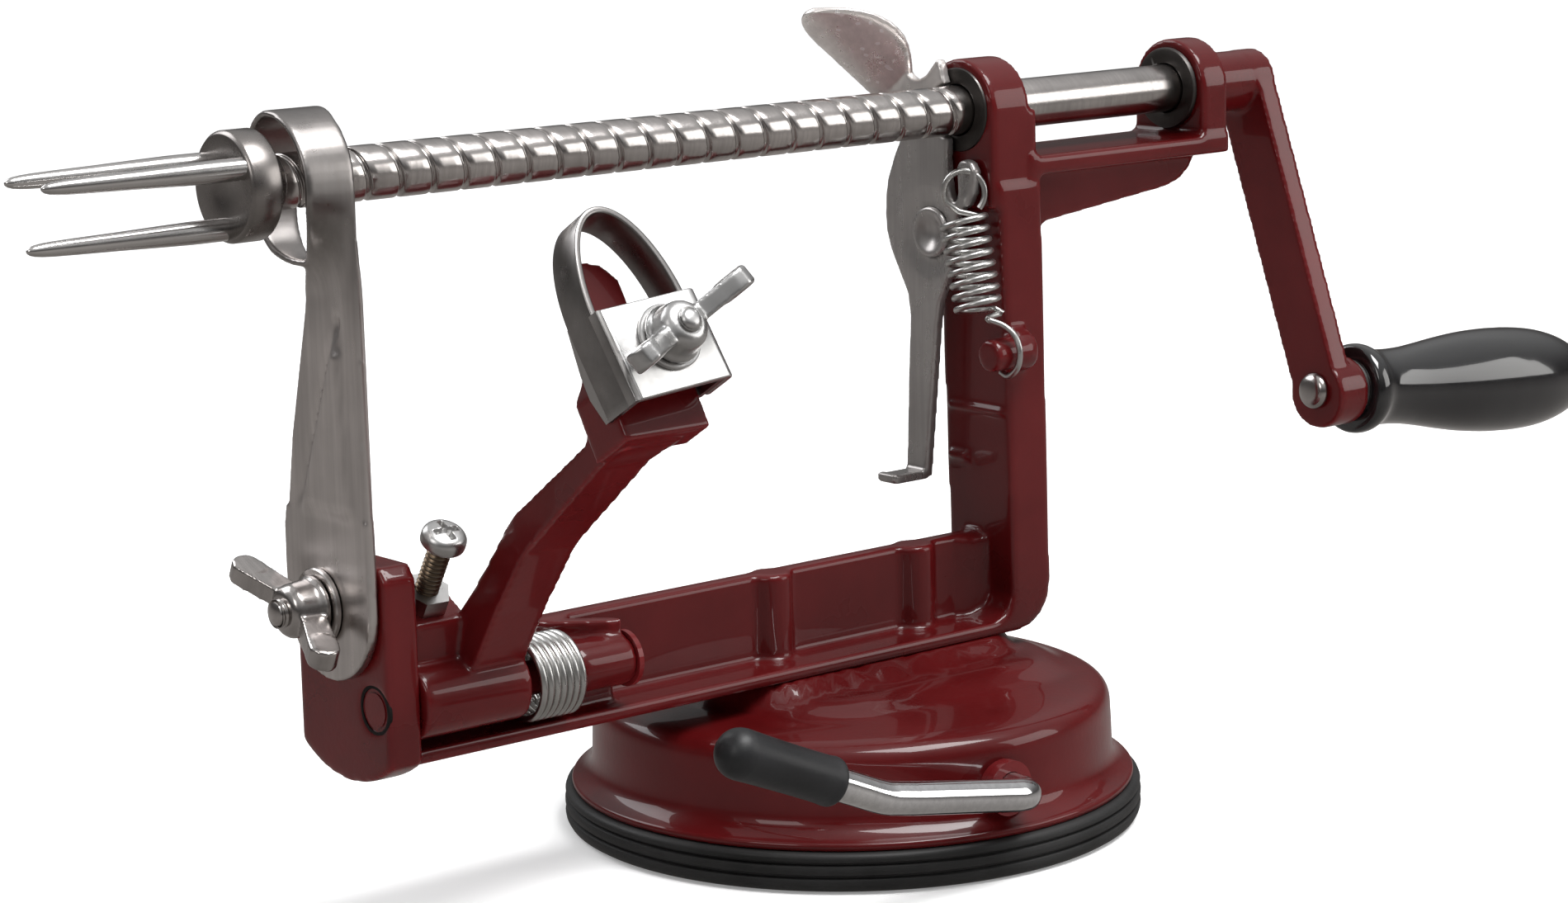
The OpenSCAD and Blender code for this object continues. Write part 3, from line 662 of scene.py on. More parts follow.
thread = edited(to_mesh("thread", vs, helix_faces(steps, len(land), per)),
                lambda bm: bmesh.ops.dissolve_degenerate(bm, dist=1e-6, edges=bm.edges))
plain = lathe([(core_r, x_thr + 2.6), (shaft_r - 0.02, x_thr + 2.6), (shaft_r, x_thr + 3.2), (shaft_r, 60),
               (shaft_r, x_end - 0.4), (shaft_r - 0.1, x_end), (core_r, x_end)], 64, *ON_SHAFT)
root = lathe([(core_r, x_min), (shaft_r - depth, x_min), (shaft_r - depth - 0.02, 0),
              (shaft_r - depth, x_thr + 2.6), (core_r, x_thr + 2.6)], 48, *ON_SHAFT)
finish_obj("feed_shaft", joined(thread, to_mesh("plain", *plain), to_mesh("root", *root)), "nickel_x", "crank",
           ["feed_screw", "feed_thread"], angle=60)

# ---- fork hub and tines
hub_lo, hub_hi = B["fork_hub"]
hr = (hub_hi[2] - hub_lo[2]) / 2
hx0, hx1 = hub_lo[0], hub_hi[0]
hb = hx1 - 3.2             # back of the wide part
boss = lathe([(0, hx0 + 0.12), (3.0, hx0 + 0.1), (3.3, hx0), (hr - 0.75, hx0), (hr - 0.5, hx0 + 0.06),
              (hr - 0.1, hx0 + 0.5), (hr, hx0 + 0.75), (hr, hb - 0.5), (hr - 0.15, hb - 0.15), (hr - 0.5, hb),
              (5.6, hb), (5.3, hb + 0.25), (5.2, hb + 0.6), (5.2, hx1 - 0.3), (4.9, hx1), (shaft_r - 0.4, hx1)], 96,
              *ON_SHAFT)
piece("fork_boss", boss, "hub", "crank", ["fork_hub"], angle=38)
tine_lo, tine_hi = B["fork_tines"]
tine_ring = 6.8            # radius the three tines stand on
tx = tine_hi[0] - tine_lo[0]
parts = []
for a in (30, 150, 270):
    cy, cz = tine_ring * math.cos(math.radians(a)), shaft_z + tine_ring * math.sin(math.radians(a))
    prof = [(0, 0), (0.34, 0.12), (0.66, 0.55), (0.92, 1.4), (1.1, 2.8), (1.22, 4.6), (1.36, 9), (1.52, 16),
            (1.76, 24), (1.86, 28), (1.9, 29.5), (1.9, tx)]
    parts.append(lathe([(r, x + tine_lo[0]) for r, x in prof], 28, (0, cy, cz), X_DIR))
piece("fork_prongs", join_parts(parts), "tine", "crank", ["fork_tines"], angle=50)

# ---- grip
grip_dir = (shift(112, -22, 69) @ turn(-1.5, "Z") @ turn(4.4, "Y")).to_3x3() @ Vector(X_DIR)
to_ferrule, grip_length, grip_r, bolt_r = 28.25, 69, 10.7, 3.4
grip_line = (tuple(mid("handle_ferrule") - np.array(grip_dir) * to_ferrule), tuple(grip_dir))
key = [(7.6, 0.0), (8.4, 0.25), (8.85, 0.9), (9.0, 1.9), (8.95, 2.8), (8.7, 3.7), (8.15, 4.8), (7.75, 6.4),
       (7.6, 8.6), (7.6, 11.5), (7.85, 15.5), (8.5, 20.5), (9.4, 26.5), (10.2, 33), (10.65, 40), (10.7, 46),
       (10.35, 52), (9.5, 57.2), (8.1, 61.8), (6.3, 65.3), (4.1, 67.7), (2.0, 68.8), (0.01, 69)]
prof = [(min(max(r, 0), grip_r), min(max(h, 0), grip_length)) for r, h in smooth_profile(key, 4)]
v, f = lathe([(r, h + 1.3) for r, h in [(bolt_r, 0)] + prof + [(0, grip_length)]], 72, *grip_line)
piece("grip_handle", (v, f[:-1]), "grip", "grip", ["handle_grip"], angle=60)
rivet = lathe([(0, -9.95), (1.8, -9.9), (2.9, -9.65), (3.4, -9.2), (3.6, -8.6), (3.6, -8.45), (2.6, -8.4),
               (2.6, 56.6), (4.2, 56.6), (4.2, 58.6), (0, 58.6)], 40, *grip_line)
piece("grip_rivet", rivet, "nickel_x", "crank", ["handle_bolt"], angle=45)

# ---- suction lever
lx, bush_y, lz = mid("lever_bush")
ly = bush_y + 46.7 - 56             # the rod's plane in front of the dome
corner, elbow, rod_end = Vector((lx, ly, lz)), Vector((-40, ly, 21.5)), Vector((-56, ly, 28.6))
d1, d2 = (elbow - corner).normalized(), (rod_end - elbow).normalized()
path = [(lx, 15, lz), (lx, 0, lz), (lx, -25, lz), (lx, -48, lz), (lx, ly + 4.4, lz),
        (lx - 0.25, ly + 2.3, lz + 0.06), (lx - 1.2, ly + 0.75, lz + 0.2), (lx - 3.2, ly + 0.05, lz + 0.6)]
path += [tuple(corner + d1 * k) for k in (5.5, 12, 20, 28)]
path += [tuple(elbow - d1 * 5 + d2 * 0.1), tuple(elbow - d1 * 2.2 + d2 * 0.5), tuple(elbow + d2 * 1.1 - d1 * 0.6)]
path += [tuple(elbow + d2 * k) for k in (3.4, 7, 12, 17.4)]
rod_r = 2.97
piece("lever_chrome", tube(smooth_path(path, 5), rod_r, 28), "chrome", "clamp_lever", ["lever_rod"], angle=60)
g0 = rod_end - Vector((-15.5, 0, 6.8)) * 0.26
g1 = Vector((-71.5, ly, 35.4))
gl = (g1 - g0).length
prof = [(2.95, 0.2), (3.5, 0), (4.0, 0.12), (4.3, 0.5), (4.36, 1.0), (4.3, 1.7), (4.22, 3), (4.2, gl * 0.45),
        (4.28, gl * 0.75), (4.4, gl - 0.6), (4.4, gl + 0.4), (4.2, gl + 1.6), (3.6, gl + 2.8), (2.6, gl + 3.75),
        (1.4, gl + 4.25), (0, gl + 4.38)]
v, f = lathe([(max(r, 0), h) for r, h in smooth_profile(prof, 3)], 40, tuple(g0), tuple((g1 - g0).normalized()))
piece("lever_sleeve", (v, f[:-1]), "sleeve", "clamp_lever", ["lever_grip"], angle=60)

# ---- slicer: one strip, embossed below, that twists and curls into the tapering coring ring
xs = B["slicer_blade"][1][0] - 1.1  # middle of the sheet
sheet = 2.0                         # thickness
ring_z, ring_ry, ring_rz = 128.7, 11.45, 12.45
neck_z, twist_height = 110, 18.7    # where the twist starts, and its length
front_x = -122.4                    # front edge of the ring
rows = []                           # (left edge, right edge, thickness)
for z in np.arange(62, neck_z + 0.1, 1.0):
    left = np.interp(z, [66, 86, 108, 116], [13, 9.5, 3.6, 2.4])
    right = np.interp(z, [58, 100, 112, 120], [-12.5, -12.25, -12.1, -11.9])
    rows.append(((xs, float(left), z), (xs, float(right), z), sheet))
flat_rows = len(rows)
for t in np.linspace(0.06, 1, 16):
    k = t * t * (3 - 2 * t)
    z = neck_z + twist_height * t
    rows.append(((xs * (1 - k) + front_x * k, 3.4 * (1 - k) - ring_ry * k, z),
                 (xs + 0.3 * k, -12.1 + (12.1 - ring_ry) * k, z), sheet - 0.75 * k))
for a in np.arange(4, 284, 6):
    y, z = -ring_ry * math.cos(math.radians(a)), ring_z + ring_rz * math.sin(math.radians(a))
    front = np.interp(a, [0, 90, 180, 240, 280], [front_x, -122.0, -118.8, -118.6, -116.6])
    rear = np.interp(a, [0, 60, 110, 185, 262, 284], [xs + 0.3, xs + 0.9, xs + 3.2, xs + 4.0, -113.4, -113.9])
    rows.append(((front, y, z), (rear, y, z), 1.15))
rows = [(np.array(l, float), np.array(r, float), t) for l, r, t in rows]


def gauss(d, width):
    return math.exp(-(d / width) ** 2)


def emboss(y, z):
    """Height of the flat part's raised wedge, its soft line and the short slot over its tip."""
    k = (z - 76) / 30
    y0, y1 = 6.4 * (1 - k) - 5.7 * k, -9.2 * (1 - k) - 7.1 * k
    inside = min(y0 - y, y - y1)
    h = 0.9 * float(sstep((inside + 0.2) / 1.5) * sstep((z - 73) / 3) * sstep((107 - z) / 3))
    h -= 0.5 * gauss(y - y0 - 0.6, 0.8) * float(sstep((z - 74) / 3) * sstep((106 - z) / 6))
    return h - 0.8 * gauss(y + 6.2, 0.75) * float(sstep((z - 101) / 1.5) * sstep((108.5 - z) / 1.5))


across = 21                         # points across the strip
edge_r = 0.6                        # how far in the edges are rounded
front_grid, back_grid = [], []
centre = np.array([(l + r) / 2 for l, r, _ in rows])
for i, (l, r, t) in enumerate(rows):
    tangent = centre[min(i + 1, len(rows) - 1)] - centre[max(i - 1, 0)]
    width = r - l
    nrm = np.cross(width, tangent)
    nrm /= np.linalg.norm(nrm)
    if i < 40 and nrm[0] > 0:
        nrm = -nrm
    if i and nrm @ last < 0:
        nrm = -nrm
    last = nrm
    for j in range(across):
        u = j / (across - 1)
        p = l + width * u
        edge = min(u, 1 - u) * np.linalg.norm(width)
        h = emboss(p[1], p[2]) if p[2] < neck_z and i < flat_rows else 0.0
        if i < 70:
            # a soft crease where the strip starts to twist
            h += 0.35 * gauss(p[1] + 8.5, 1.6) * float(sstep((p[2] - 104) / 8) * sstep((126 - p[2]) / 8))
        rnd = 0.32 * (1 - math.sqrt(max(0, 1 - (1 - min(edge, edge_r) / edge_r) ** 2)))
        front_grid.append(p + nrm * (t / 2 + h * 0.9 - rnd))
        back_grid.append(p - nrm * (t / 2 - h * 0.5 - rnd))
me = to_mesh("blade", front_grid + back_grid, sheet_faces(len(rows), across))
# its round foot
foot = [(13 - 0.15, 70), *arc((0.25, 58), 12.6, 0, -180, 20), (-12.35, 70), (-12.3, 74), (12, 74)]
foot = extrude([(-y, z) for y, z in foot], sheet, shift(xs + sheet / 2, 0, 0) @ NX)
me = remesh(joined(me, to_mesh("foot", *foot)), 0.34, 7, 0.7)
finish_obj("slicer_strip", me, "strip", "frame", ["slicer_blade"])


# ---- fasteners
def wing_nut(name, place, r_body, height, span, thick, lift, mat, body, node):
    """Cast wing nut about local z: a domed boss on a flange with two thick wings that flare outwards."""
    parts = [lathe([(0, 0), (r_body + 0.7, 0), (r_body + 0.75, 0.9), (r_body + 0.2, 1.5),
                    (r_body - 0.1, height - 1.4), (r_body - 0.7, height - 0.5), (r_body - 1.6, height),
                    (0, height)], 40)]
    wing = [(r_body - 1.6, 0.9), (r_body + 0.6, 1.0), (span - 2.2, lift - 3.1), (span - 0.4, lift - 2.4),
            (span + 0.9, lift - 0.9), (span + 1.25, lift + 0.7), (span + 0.5, lift + 2.1), (span - 1.2, lift + 2.7),
            (span - 2.8, lift + 2.2), (r_body - 0.6, height - 1.0), (r_body - 1.6, height - 0.9)]
    pad = [(0, -0.25), (1.9, -0.2), (2.4, 0), (2.4, thick), (1.9, thick + 0.2), (0, thick + 0.25)]
    for half_turn in (0, 180):
        m = turn(half_turn, "Z") @ shift(0, thick / 2, 0) @ turn(90, "X")
        parts.append(extrude(wing, thick, m))
        for x, y in ((span - 0.9, lift - 0.1), (span - 2.2, lift - 0.6)):
            parts.append(lathe(pad, 24, tuple(m @ Vector((x, y, 0))), tuple(m.to_3x3() @ Vector((0, 0, 1)))))
    me = remesh(to_mesh(name, *placed(join_parts(parts), place)), 0.32, 5, 0.5)
    finish_obj(name, me, mat, body, [node])


def threaded(r, z0, z1, step, tip=0, deep=0.22):
    """A threaded shank about z as one helical skin, thinner over its last tip mm."""
    n = 20                 # points a turn
    steps = int((z1 - z0) / step * n) + 1 + n
    vs = []
    for i in range(steps + 1):
        a = 2 * math.pi * i / n
        for dz, dr in ((0.0, deep), (0.25, deep * 0.35), (0.5, 0), (0.75, deep * 0.35)):
            z = min(max(z0 + step * (i / n + dz - 1), z0), z1)
            taper = max(0.0, 1 - (z - z0) / tip) * 0.45 if tip else 0
            vs.append(((r - dr - taper) * math.cos(a), (r - dr - taper) * math.sin(a), z))
    # wound the other way round from the feed screw
    return vs, [f[:1] + f[:0:-1] for f in helix_faces(steps, 4, n)]


def cross_recess(part, above, deep, half_width, fade, reach):
    """Sinks a cross into the top of a screw head about z, in the points that lie above a height."""
    v, f = part
    for p in v:
        if p[2] > above:
            off, out = min(abs(p[0]), abs(p[1])), max(abs(p[0]), abs(p[1]))
            p[2] -= deep * float(sstep((half_width - off) / fade) * sstep((reach - out) / 0.5))
    return v, f


SB = shift(0, *mid("slicer_bolt")[1:]) @ NX          # along the slicer's bolt, outwards
shank = lathe([(2.3, 105.5), (2.3, 122.9), (2.0, 123.6), (1.2, 123.95), (0, 124)], 32)
head = lathe([(0, 105.55), (4.15, 105.55), (4.15, 107.9), (0, 107.9)], 32)
parts = [threaded(2.5, 106, 123.4, 0.8), shank, head]
piece("slicer_stud", placed(join_parts(parts), SB), "nickel_x", "frame", ["slicer_bolt"], angle=40)
nut_x, slicer_nut_turned = B["slicer_wing_nut"][1][0] - 0.05, 66
place = shift(nut_x, *mid("slicer_bolt")[1:]) @ turn(-90, "Y") @ turn(slicer_nut_turned, "Z")
wing_nut("slicer_wings", place, 4.7, 6.4, 13.8, 3.5, 6.0, "nickel_x", "slicer_nut", "slicer_wing_nut")
disc = lathe([(2.6, 112.25), (6.3, 112.25), (6.5, 112.5), (6.5, 113.1), (6.3, 113.35), (2.6, 113.4)], 64)
v, f = placed(disc, SB)
washer_shift = (2.2, 0, 0)
piece("slicer_disc", (np.array(v) - washer_shift, f), "nickel_x", "frame", ["slicer_washer"], angle=35)


# ---- blade head: loop, saddle, bolt, washer and wing nut
def ribbon(path, t, z0, z1, rnd=0.25):
    """A flat strip of thickness t, on edge along a path in local x and y, with its edges rolled round."""
    p = np.array(path, float)
    d = np.gradient(p, axis=0)
    d /= np.linalg.norm(d, axis=1)[:, None]
    nrm = np.stack([-d[:, 1], d[:, 0]], 1)
    side, low, high = t / 2, z0 + rnd * 0.3, z1 - rnd * 0.3
    sec = [(-side, z0 + rnd), (-side + rnd * 0.3, low), (-side + rnd, z0), (side - rnd, z0),
           (side - rnd * 0.3, low), (side, z0 + rnd), (side, z1 - rnd), (side - rnd * 0.3, high), (side - rnd, z1),
           (-side + rnd, z1), (-side + rnd * 0.3, high), (-side, z1 - rnd)]
    vs = [(q[0] + a[0] * w, q[1] + a[1] * w, z) for q, a in zip(p, nrm) for w, z in sec]
    return vs, ring_faces(len(p), len(sec))


# the clamped head sits a few degrees askew on the arm
askew, off_bolt = 5, -0.5
HV = H @ shift(bolt_x + off_bolt, bolt_y, 0) @ turn(askew, "Z") @ shift(-bolt_x, -bolt_y, 0)
left_x, right_x, top_y = -11.8, 6.4, 12.5
loop = [(left_x, -1.35), (left_x, 3), (left_x, 8), (left_x, top_y), *arc((-2.7, top_y), (-9.1, 18.6), 8, 170, 27),
        (right_x, top_y), (right_x, 8), (right_x, 3), (right_x, -1.25)]
leg_edge = ribbon([(left_x, -1.35), (left_x, 4), (left_x, 9), (left_x, 14.3)], 1.24, -1.2, 1.32)
side_on = Matrix(((0, 0, 1, -12.3), (0, 1, 0, 0), (1, 0, 0, 0), (0, 0, 0, 1)))
leg_side = [(1.2, 14.25), (-7.38, 14.9), (-8.3, 11), (-9.1, 7.5), (-9.4, 3.5), (-8.2, -1.3), (1.2, -1.3)]
leg_side = extrude(leg_side, 1.0, side_on)
path = smooth_path([(x, y, 0) for x, y in loop], 3)[:, :2]
piece("loop_blade", placed(join_parts([ribbon(path, 1.15, -7.4, -0.2), leg_edge, leg_side]), HV), "blade", "peeler",
      ["peeler_blade"], angle=50)
# saddle: sheet bent over the head's right side, with a lip rolled at the left
path = [(-11.5, 0.6), (-10.9, 0.69), (-10.4, 0.7), (-4, 0.7), (2, 0.7), (6.2, 0.7), (7.1, 0.55), (7.65, 0.05),
        (7.75, -0.9), (7.75, -3.4), (7.75, -6.3)]
piece("head_saddle", placed(ribbon(smooth_profile(path, 3), 1.35, -14.4, 1.4, 0.3), HV @ turn(90, "X")), "bright",
      "peeler", ["blade_saddle"], angle=50)
BP = H @ shift(bolt_x, bolt_y, 0)
shank = lathe([(1.95, -8.4), (1.95, 8.2), (1.85, 8.75), (1.4, 9.2), (0.8, 9.38), (0, 9.4)], 32)
head = lathe([(0, -11), (3.4, -11), (3.9, -10.5), (3.9, -8.4), (0, -8.4)], 40)
parts = [threaded(2.1, -10.5, 8.7, 0.7), shank, head]
piece("head_stud", placed(join_parts(parts), BP), "bright", "peeler", ["blade_bolt"], angle=40)
disc = lathe([(2.15, 1.42), (5.4, 1.42), (5.6, 1.6), (5.6, 2.2), (5.4, 2.38), (2.15, 2.4)], 56)
piece("head_disc", placed(disc, BP), "bright", "peeler", ["blade_washer"], angle=35)
nut_height, head_nut_turned = 2.5, 24
place = BP @ shift(0, 0, nut_height) @ turn(head_nut_turned, "Z")
wing_nut("head_wings", place, 4.3, 5.6, 13.4, 3.2, 6.2, "bright", "blade_nut", "blade_wing_nut")

# ---- stop screw with a cross recess
S = shift(-100, -13.4, 68.8) @ turn(31, "X")
prof = [(2.0, -0.1), (3.5, -0.05), (3.88, 0.15), (3.9, 1.3), (3.72, 1.9), (3.25, 2.45), (2.4, 2.82), (1.3, 2.97),
        (0, 3.0)]
head = cross_recess(lathe(smooth_profile(prof, 9).tolist(), 120), 1.7, 1.25, 0.62, 0.25, 2.5)
piece("stop_bolt", placed(head, S), "bright", "peeler", ["stop_screw"], angle=40)
parts = [threaded(2.1, -23, 0.0, 0.9, 0.6, deep=0.32),
         lathe([(0, -22.9), (1.4, -22.9), (1.78, -22.4), (1.78, 0), (0, 0)], 32)]
piece("stop_shank", placed(join_parts(parts), S), "brass", "peeler", angle=40)

# ---- release lever: pressed sheet with a dimple at its pivot, a bent foot and a thumb paddle
out = [(7.7, 60.4), (7.9, 59.2), (9, 58.7), (12.2, 58.7), (13.2, 59.2), (13.4, 60.4), (12.4, 80), (11.7, 90),
       (12.4, 94.4), (14.5, 98), (17.0, 102.4), (18.2, 106), (18.45, 109), (18.3, 112.5), (17.6, 116),
       (15.6, 120.6), (13.9, 123.6), (13.6, 125.4), (14.6, 126.9), (17, 127.7), (21.2, 129.2), (22.3, 131.2),
       (19, 134.1), (14.5, 136.5), (12.2, 136.7), (10.9, 136.0), (9.8, 135.3), (8.2, 135.5), (6.2, 136.4),
       (4.6, 138), (3.1, 139.6), (2.2, 138.6), (1.5, 136), (1.0, 134.9)]
out += arc((0, 130), 5.25, 72, -84, 16)
out += [(0.7, 123.6), (0.8, 121), (0.6, 118), (0.2, 115), (-0.4, 113.2), (-1.1, 112.8), (-1.9, 113.4),
        (-2.3, 114.8), (-2.2, 117), (-1.9, 119.2), (-2.6, 120.6), (-4.2, 121.15), (-5.9, 120.7), (-6.9, 119.2),
        (-6.9, 117.4), (-6.4, 114.6), (-4.8, 112.4), (-2.6, 111.3), (-1.4, 109.8), (-1.2, 107), (-1.0, 104.2),
        (0.2, 99.6), (2.0, 96.2), (3.4, 93.4), (4.3, 89), (4.9, 84)]
sheet_x, sheet_t = 26.5, 2.0
hinge_y, hinge_z = 5.5, 106.7
hinge = shift(0, hinge_y, hinge_z)
parts = [extrude(out, sheet_t, shift(sheet_x, 0, 0) @ AX), block((27.2, 4.35, 129.4), (27.8, 6, 130.6)),
         block((19.2, 7.9, 58.6), (27.4, 13.1, 60.3)), block((18.4, 8.4, 58.9), (20, 12.6, 60.6)),
         placed(lathe([(0, 26.45), (4.6, 26.45), (4.6, 28.5), (0, 28.5)], 32), hinge @ turn(90, "Y"))]
# paddle: a leaf dished along its length and rolled up at its tip; points are (x, y from, y to)
PD = shift(27.6, 16.6, 133.4) @ turn(-138, "Y") @ turn(30, "X")
leaf = [(-1.2, -4.0, 4.6), (1.4, -5.6, 4.9), (3.8, -7.1, 5.2), (8.4, -9.15, 5.65), (13.1, -9.55, 6.0),
        (17.5, -8.3, 6.25), (20.2, -6.6, 6.05), (22.6, -4.2, 5.3), (24.2, -1.8, 4.1), (25.0, 0.2, 2.7),
        (25.2, 1.2, 1.8)]
leaf = smooth_path(leaf, 3)
across, half_sheet, vs = 15, 0.72, []
for top in (half_sheet, -half_sheet):
    for x, y_from, y_to in leaf:
        for j in range(across):
            u = j / (across - 1)
            y = y_from + (y_to - y_from) * u
            z = 0.5 - 1.3 * ((y + 2) / 9) ** 2 + 0.0022 * (x - 8) ** 2
            vs.append((x, y, z + top * (0.45 + 0.55 * min(1, min(u, 1 - u) * 9) ** 0.5)))
parts.append(placed((vs, sheet_faces(len(leaf), across)), PD))
me = remesh(to_mesh("release", *join_parts(parts)), 0.4, 4)
# a shallow cup pressed round the rivet, with a flat well under its head
co = np.array([v.co for v in me.vertices])
x_mm, y_mm, z_mm = co[:, 0] * 1000, co[:, 1] * 1000, co[:, 2] * 1000
hub_d = np.hypot(y_mm - hinge_y, z_mm - hinge_z)
cup = (x_mm < 29.2) & (hub_d > 4.5) & (z_mm < 115)
co[:, 0] += np.where(cup, 0.55 * sstep((9.5 - hub_d) / 4.2), 0) * MM * 0.9
well_x = 0.0277
co[(hub_d < 4.6) & (co[:, 0] < well_x) & (co[:, 2] < 0.115), 0] = well_x
set_points(me, co)
finish_obj("release_sheet", me, "satin", "release", ["release_lever"])
pin = lathe([(0, 27.5), (0.9, 27.42), (1.8, 27.15), (2.6, 26.75), (3.2, 26.4), (3.8, 26.12), (4.3, 26.05),
             (4.7, 26.2), (4.8, 26.9), (2.5, 27.9), (2.5, 28.6), (2.0, 28.65), (2.0, 35), (0, 35)], 40)
piece("release_pin", placed(pin, hinge @ AX), "satin", "frame", ["release_rivet"], angle=70)

# ---- springs
coil_x0, coil_x1, coil_r, wire_r, coils, per_coil = -82.4, -72.9, 6.85, 0.69, 7, 34
start = math.radians(40)
path = []
for i in range(coils * per_coil + 1):
    a = 2 * math.pi * i / per_coil + start
    path.append((coil_x0 + (coil_x1 - coil_x0) * (i / (coils * per_coil)), pin_y + coil_r * math.cos(a),
                 pin_z + coil_r * math.sin(a)))
piece("coil_torsion", tube(path, wire_r, 10, up=X_DIR), "spring", "frame", ["torsion_spring"], angle=70)
coil_top, coil_foot = np.array((24.4, -6.2, 110.6)), np.array((24.4, -10.2, 93.4))
coil_r, wire_r, coils, per_coil = 4.1, 0.6, 8, 26
along = (coil_foot - coil_top) / np.linalg.norm(coil_foot - coil_top)
u = np.cross(along, (0, 1, 0.01))
u /= np.linalg.norm(u)
w = np.cross(along, u)
coil = []
for i in range(coils * per_coil + 1):
    a = 2 * math.pi * i / per_coil
    coil.append(coil_top + (coil_foot - coil_top) * (i / (coils * per_coil))
                + coil_r * (math.cos(a) * u + math.sin(a) * w))
# the upper loop through the lever's tongue and the hook over the post's stud
eye = np.array((26.2, -4.6, 115.0))
loop = []
for t in np.linspace(-0.75, math.pi + 0.5, 22):
    ring = math.cos(t) * np.array((0.72, -0.69, 0)) + 1.06 * math.sin(t) * np.array((0, 0, 1))
    loop.append(eye + 3.9 * ring + (t - 2) * np.array((0.25, 0.25, 0)))
loop.append(0.5 * (loop[-1] + coil[0]) + np.array((-0.6, 0.4, -0.4)))
hook = [tuple(coil[-1] + np.array((1.5, -0.4, -0.9))), (25.4, -11.6, 92.0), (27.6, -13.6, 90.6),
        (28.8, -15.4, 88.6), (28.95, -16.4, 85.8), (28.95, -15.7, 82.8), (28.9, -13.4, 81.0), (28.7, -11.4, 81.6)]
piece("coil_tension", tube(np.vstack([loop, coil, smooth_path(hook, 6)]), wire_r, 12), "spring", "frame",
      ["tension_spring"], angle=70)

# ---- end screw of the crank
ex = B["crank_end_screw"][1][0]
CE = shift(0, 0, shaft_z) @ AX
prof = [(2.6, ex - 3.6), (2.6, ex - 2.2), (4.3, ex - 2.2), (4.58, ex - 1.9), (4.55, ex - 1.1), (4.1, ex - 0.5),
        (3.0, ex - 0.12), (1.4, ex - 0.01), (0, ex)]
head = cross_recess(lathe(smooth_profile(prof, 3).tolist(), 48), ex - 1.3, 0.95, 0.75, 0.3, 3.0)
piece("crank_cap_screw", placed(head, CE), "nickel_x", "crank", ["crank_end_screw"], angle=40)

# ---- bushes with a rolled rim, its edge at rim_z and rim_end behind the front face
for node, rim_z, rim_end, rim_back in (("front_bush", 0.5, 0.5, 0.6), ("rear_bush", 1.0, 1.2, 1.2)):
    fl, back = B[node][0][0], B[node][1][0]
    bush = lathe([(shaft_r + 0.12, fl + 0.35), (shaft_r + 0.3, fl + 0.1), (5.4, fl), (7.3, fl), (7.75, fl + 0.12),
                  (7.9, fl + 0.4), (7.9, fl + rim_z), (7.6, fl + rim_end), (6.6, fl + rim_back), (6.6, back),
                  (shaft_r + 0.12, back), (shaft_r + 0.12, fl + 0.35)], 64)
    piece(node + "_rim", placed(bush, CE), "bush", "frame", [node], angle=40)

# ------------------------------------------------------------------ camera, floor and light
cam_data = bpy.data.cameras.new("cam")
cam = new_object("cam", cam_data)
cam_data.sensor_fit = "HORIZONTAL"
cam_data.sensor_width = 36
cam_data.lens = 86.21
# fitted to the photograph
cam_pos = (-0.443887, -0.521844, 0.198751)
az, el, roll = (math.radians(a) for a in (-39.418, 10.722, -1.264))
back = Vector((math.sin(az) * math.cos(el), -math.cos(az) * math.cos(el), math.sin(el)))
right = Vector((math.cos(az), math.sin(az), 0))
up = back.cross(right)
r2 = right * math.cos(roll) + up * math.sin(roll)
u2 = up * math.cos(roll) - right * math.sin(roll)
cam.matrix_world = Matrix.Translation(cam_pos) @ Matrix((r2, u2, back)).transposed().to_4x4()
cam_data.clip_start, cam_data.clip_end = 0.01, 40
bpy.context.scene.camera = cam


def area(name, loc, target, size, power, color=(1, 1, 1), size_y=None):
    d = bpy.data.lights.new(name, "AREA")
    d.shape = "RECTANGLE"
    d.size, d.size_y = size, size_y or size
    d.energy = power
    d.color = color
    o = new_object(name, d)
    o.location = loc
    o.rotation_euler = (Vector(target) - Vector(loc)).to_track_quat("-Z", "Y").to_euler()
    return o


aim = (0, 0, 0.07)
area("key", (0.2, -0.5, 1.3), aim, 0.9, 23, size_y=0.6)
area("fill", (1.0, -0.95, 0.5), aim, 0.7, 4.5, (1, 0.99, 0.97))
area("rim", (-0.5, 0.95, 0.9), aim, 0.8, 7, (0.97, 0.98, 1))
area("left", (-1.2, -0.35, 0.75), aim, 0.45, 2.2, (1, 0.98, 0.96)).visible_diffuse = False

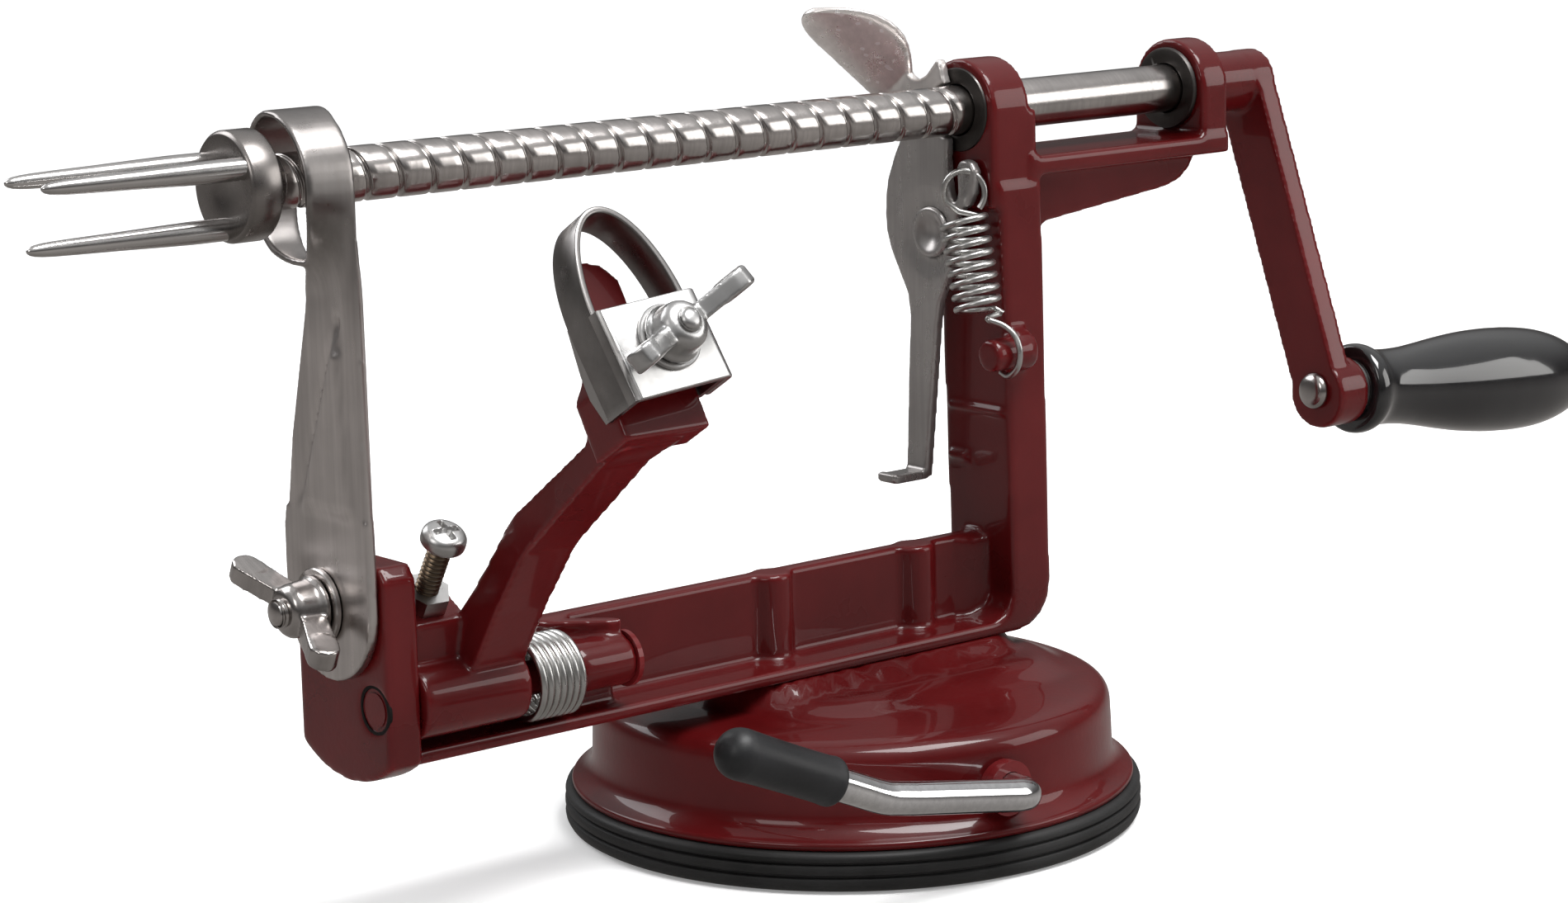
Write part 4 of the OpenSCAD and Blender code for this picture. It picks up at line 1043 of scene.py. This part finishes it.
world = bpy.data.worlds.new("studio")
world.use_nodes = True
nt = world.node_tree
bg = nt.nodes["Background"]
tc = nt.nodes.new("ShaderNodeTexCoord")
sep = nt.nodes.new("ShaderNodeSeparateXYZ")
nt.links.new(tc.outputs["Generated"], sep.inputs[0])
sky = ramp(nt, maprange(nt, sep.outputs["Z"], -1, 1, 0, 1),
           [(0.0, (0.24, 0.225, 0.21)), (0.36, (0.42, 0.40, 0.385)), (0.46, (0.30, 0.285, 0.275)),
            (0.53, (0.075, 0.07, 0.068)), (0.62, (0.14, 0.137, 0.137)), (0.8, (0.55, 0.55, 0.55)),
            (1.0, (0.75, 0.75, 0.75))])
side = maprange(nt, sep.outputs["X"], -1, 1, 0.85, 1.1)
sky = mix(nt, 1.0, sky, side, "MULTIPLY")
nt.links.new(sky, bg.inputs["Color"])
bg.inputs["Strength"].default_value = 0.9
bpy.context.scene.world = world
bpy.context.scene.view_settings.view_transform = "Standard"

floor_mat, nt, b = node_mat("floor_pale", (0.86, 0.86, 0.86), 0.0, 0.65, spec=0.2)
b.inputs["Emission Color"].default_value = (1, 1, 1, 1)
far = nt.nodes.new("ShaderNodeVectorMath")
far.operation = "LENGTH"
nt.links.new(coords(nt), far.inputs[0])
nt.links.new(maprange(nt, far.outputs["Value"], 0.5, 3.0, 0.24, 0.75), b.inputs["Emission Strength"])
nt.links.new(maprange(nt, noise(nt, coords(nt), 3, 2), 0.3, 0.7, 0.6, 0.75), b.inputs["Roughness"])
me = bpy.data.meshes.new("floor")
me.from_pydata([(-6, -6, 0), (6, -6, 0), (6, 6, 0), (-6, 6, 0)], [], [[0, 1, 2, 3]])
me.materials.append(floor_mat)
floor = new_object("floor", me)
floor.visible_glossy = False

# a white dome far off, seen by the camera only
wall_mat = bpy.data.materials.new("wall_pale")
wall_mat.use_nodes = True
nt = wall_mat.node_tree
nt.nodes.clear()
em = nt.nodes.new("ShaderNodeEmission")
em.inputs["Color"].default_value = (0.93, 0.93, 0.93, 1)
em.inputs["Strength"].default_value = 1.0
out = nt.nodes.new("ShaderNodeOutputMaterial")
nt.links.new(em.outputs[0], out.inputs["Surface"])
wv, wf = lathe([(5600, -60), (5600, 3000), (4200, 4300), (0, 5000)], 48)
me = to_mesh("wall", wv, wf[:-1])
me.materials.append(wall_mat)
wall = new_object("wall", me)
for k in ("visible_diffuse", "visible_glossy", "visible_shadow", "visible_transmission", "visible_volume_scatter"):
    setattr(wall, k, False)
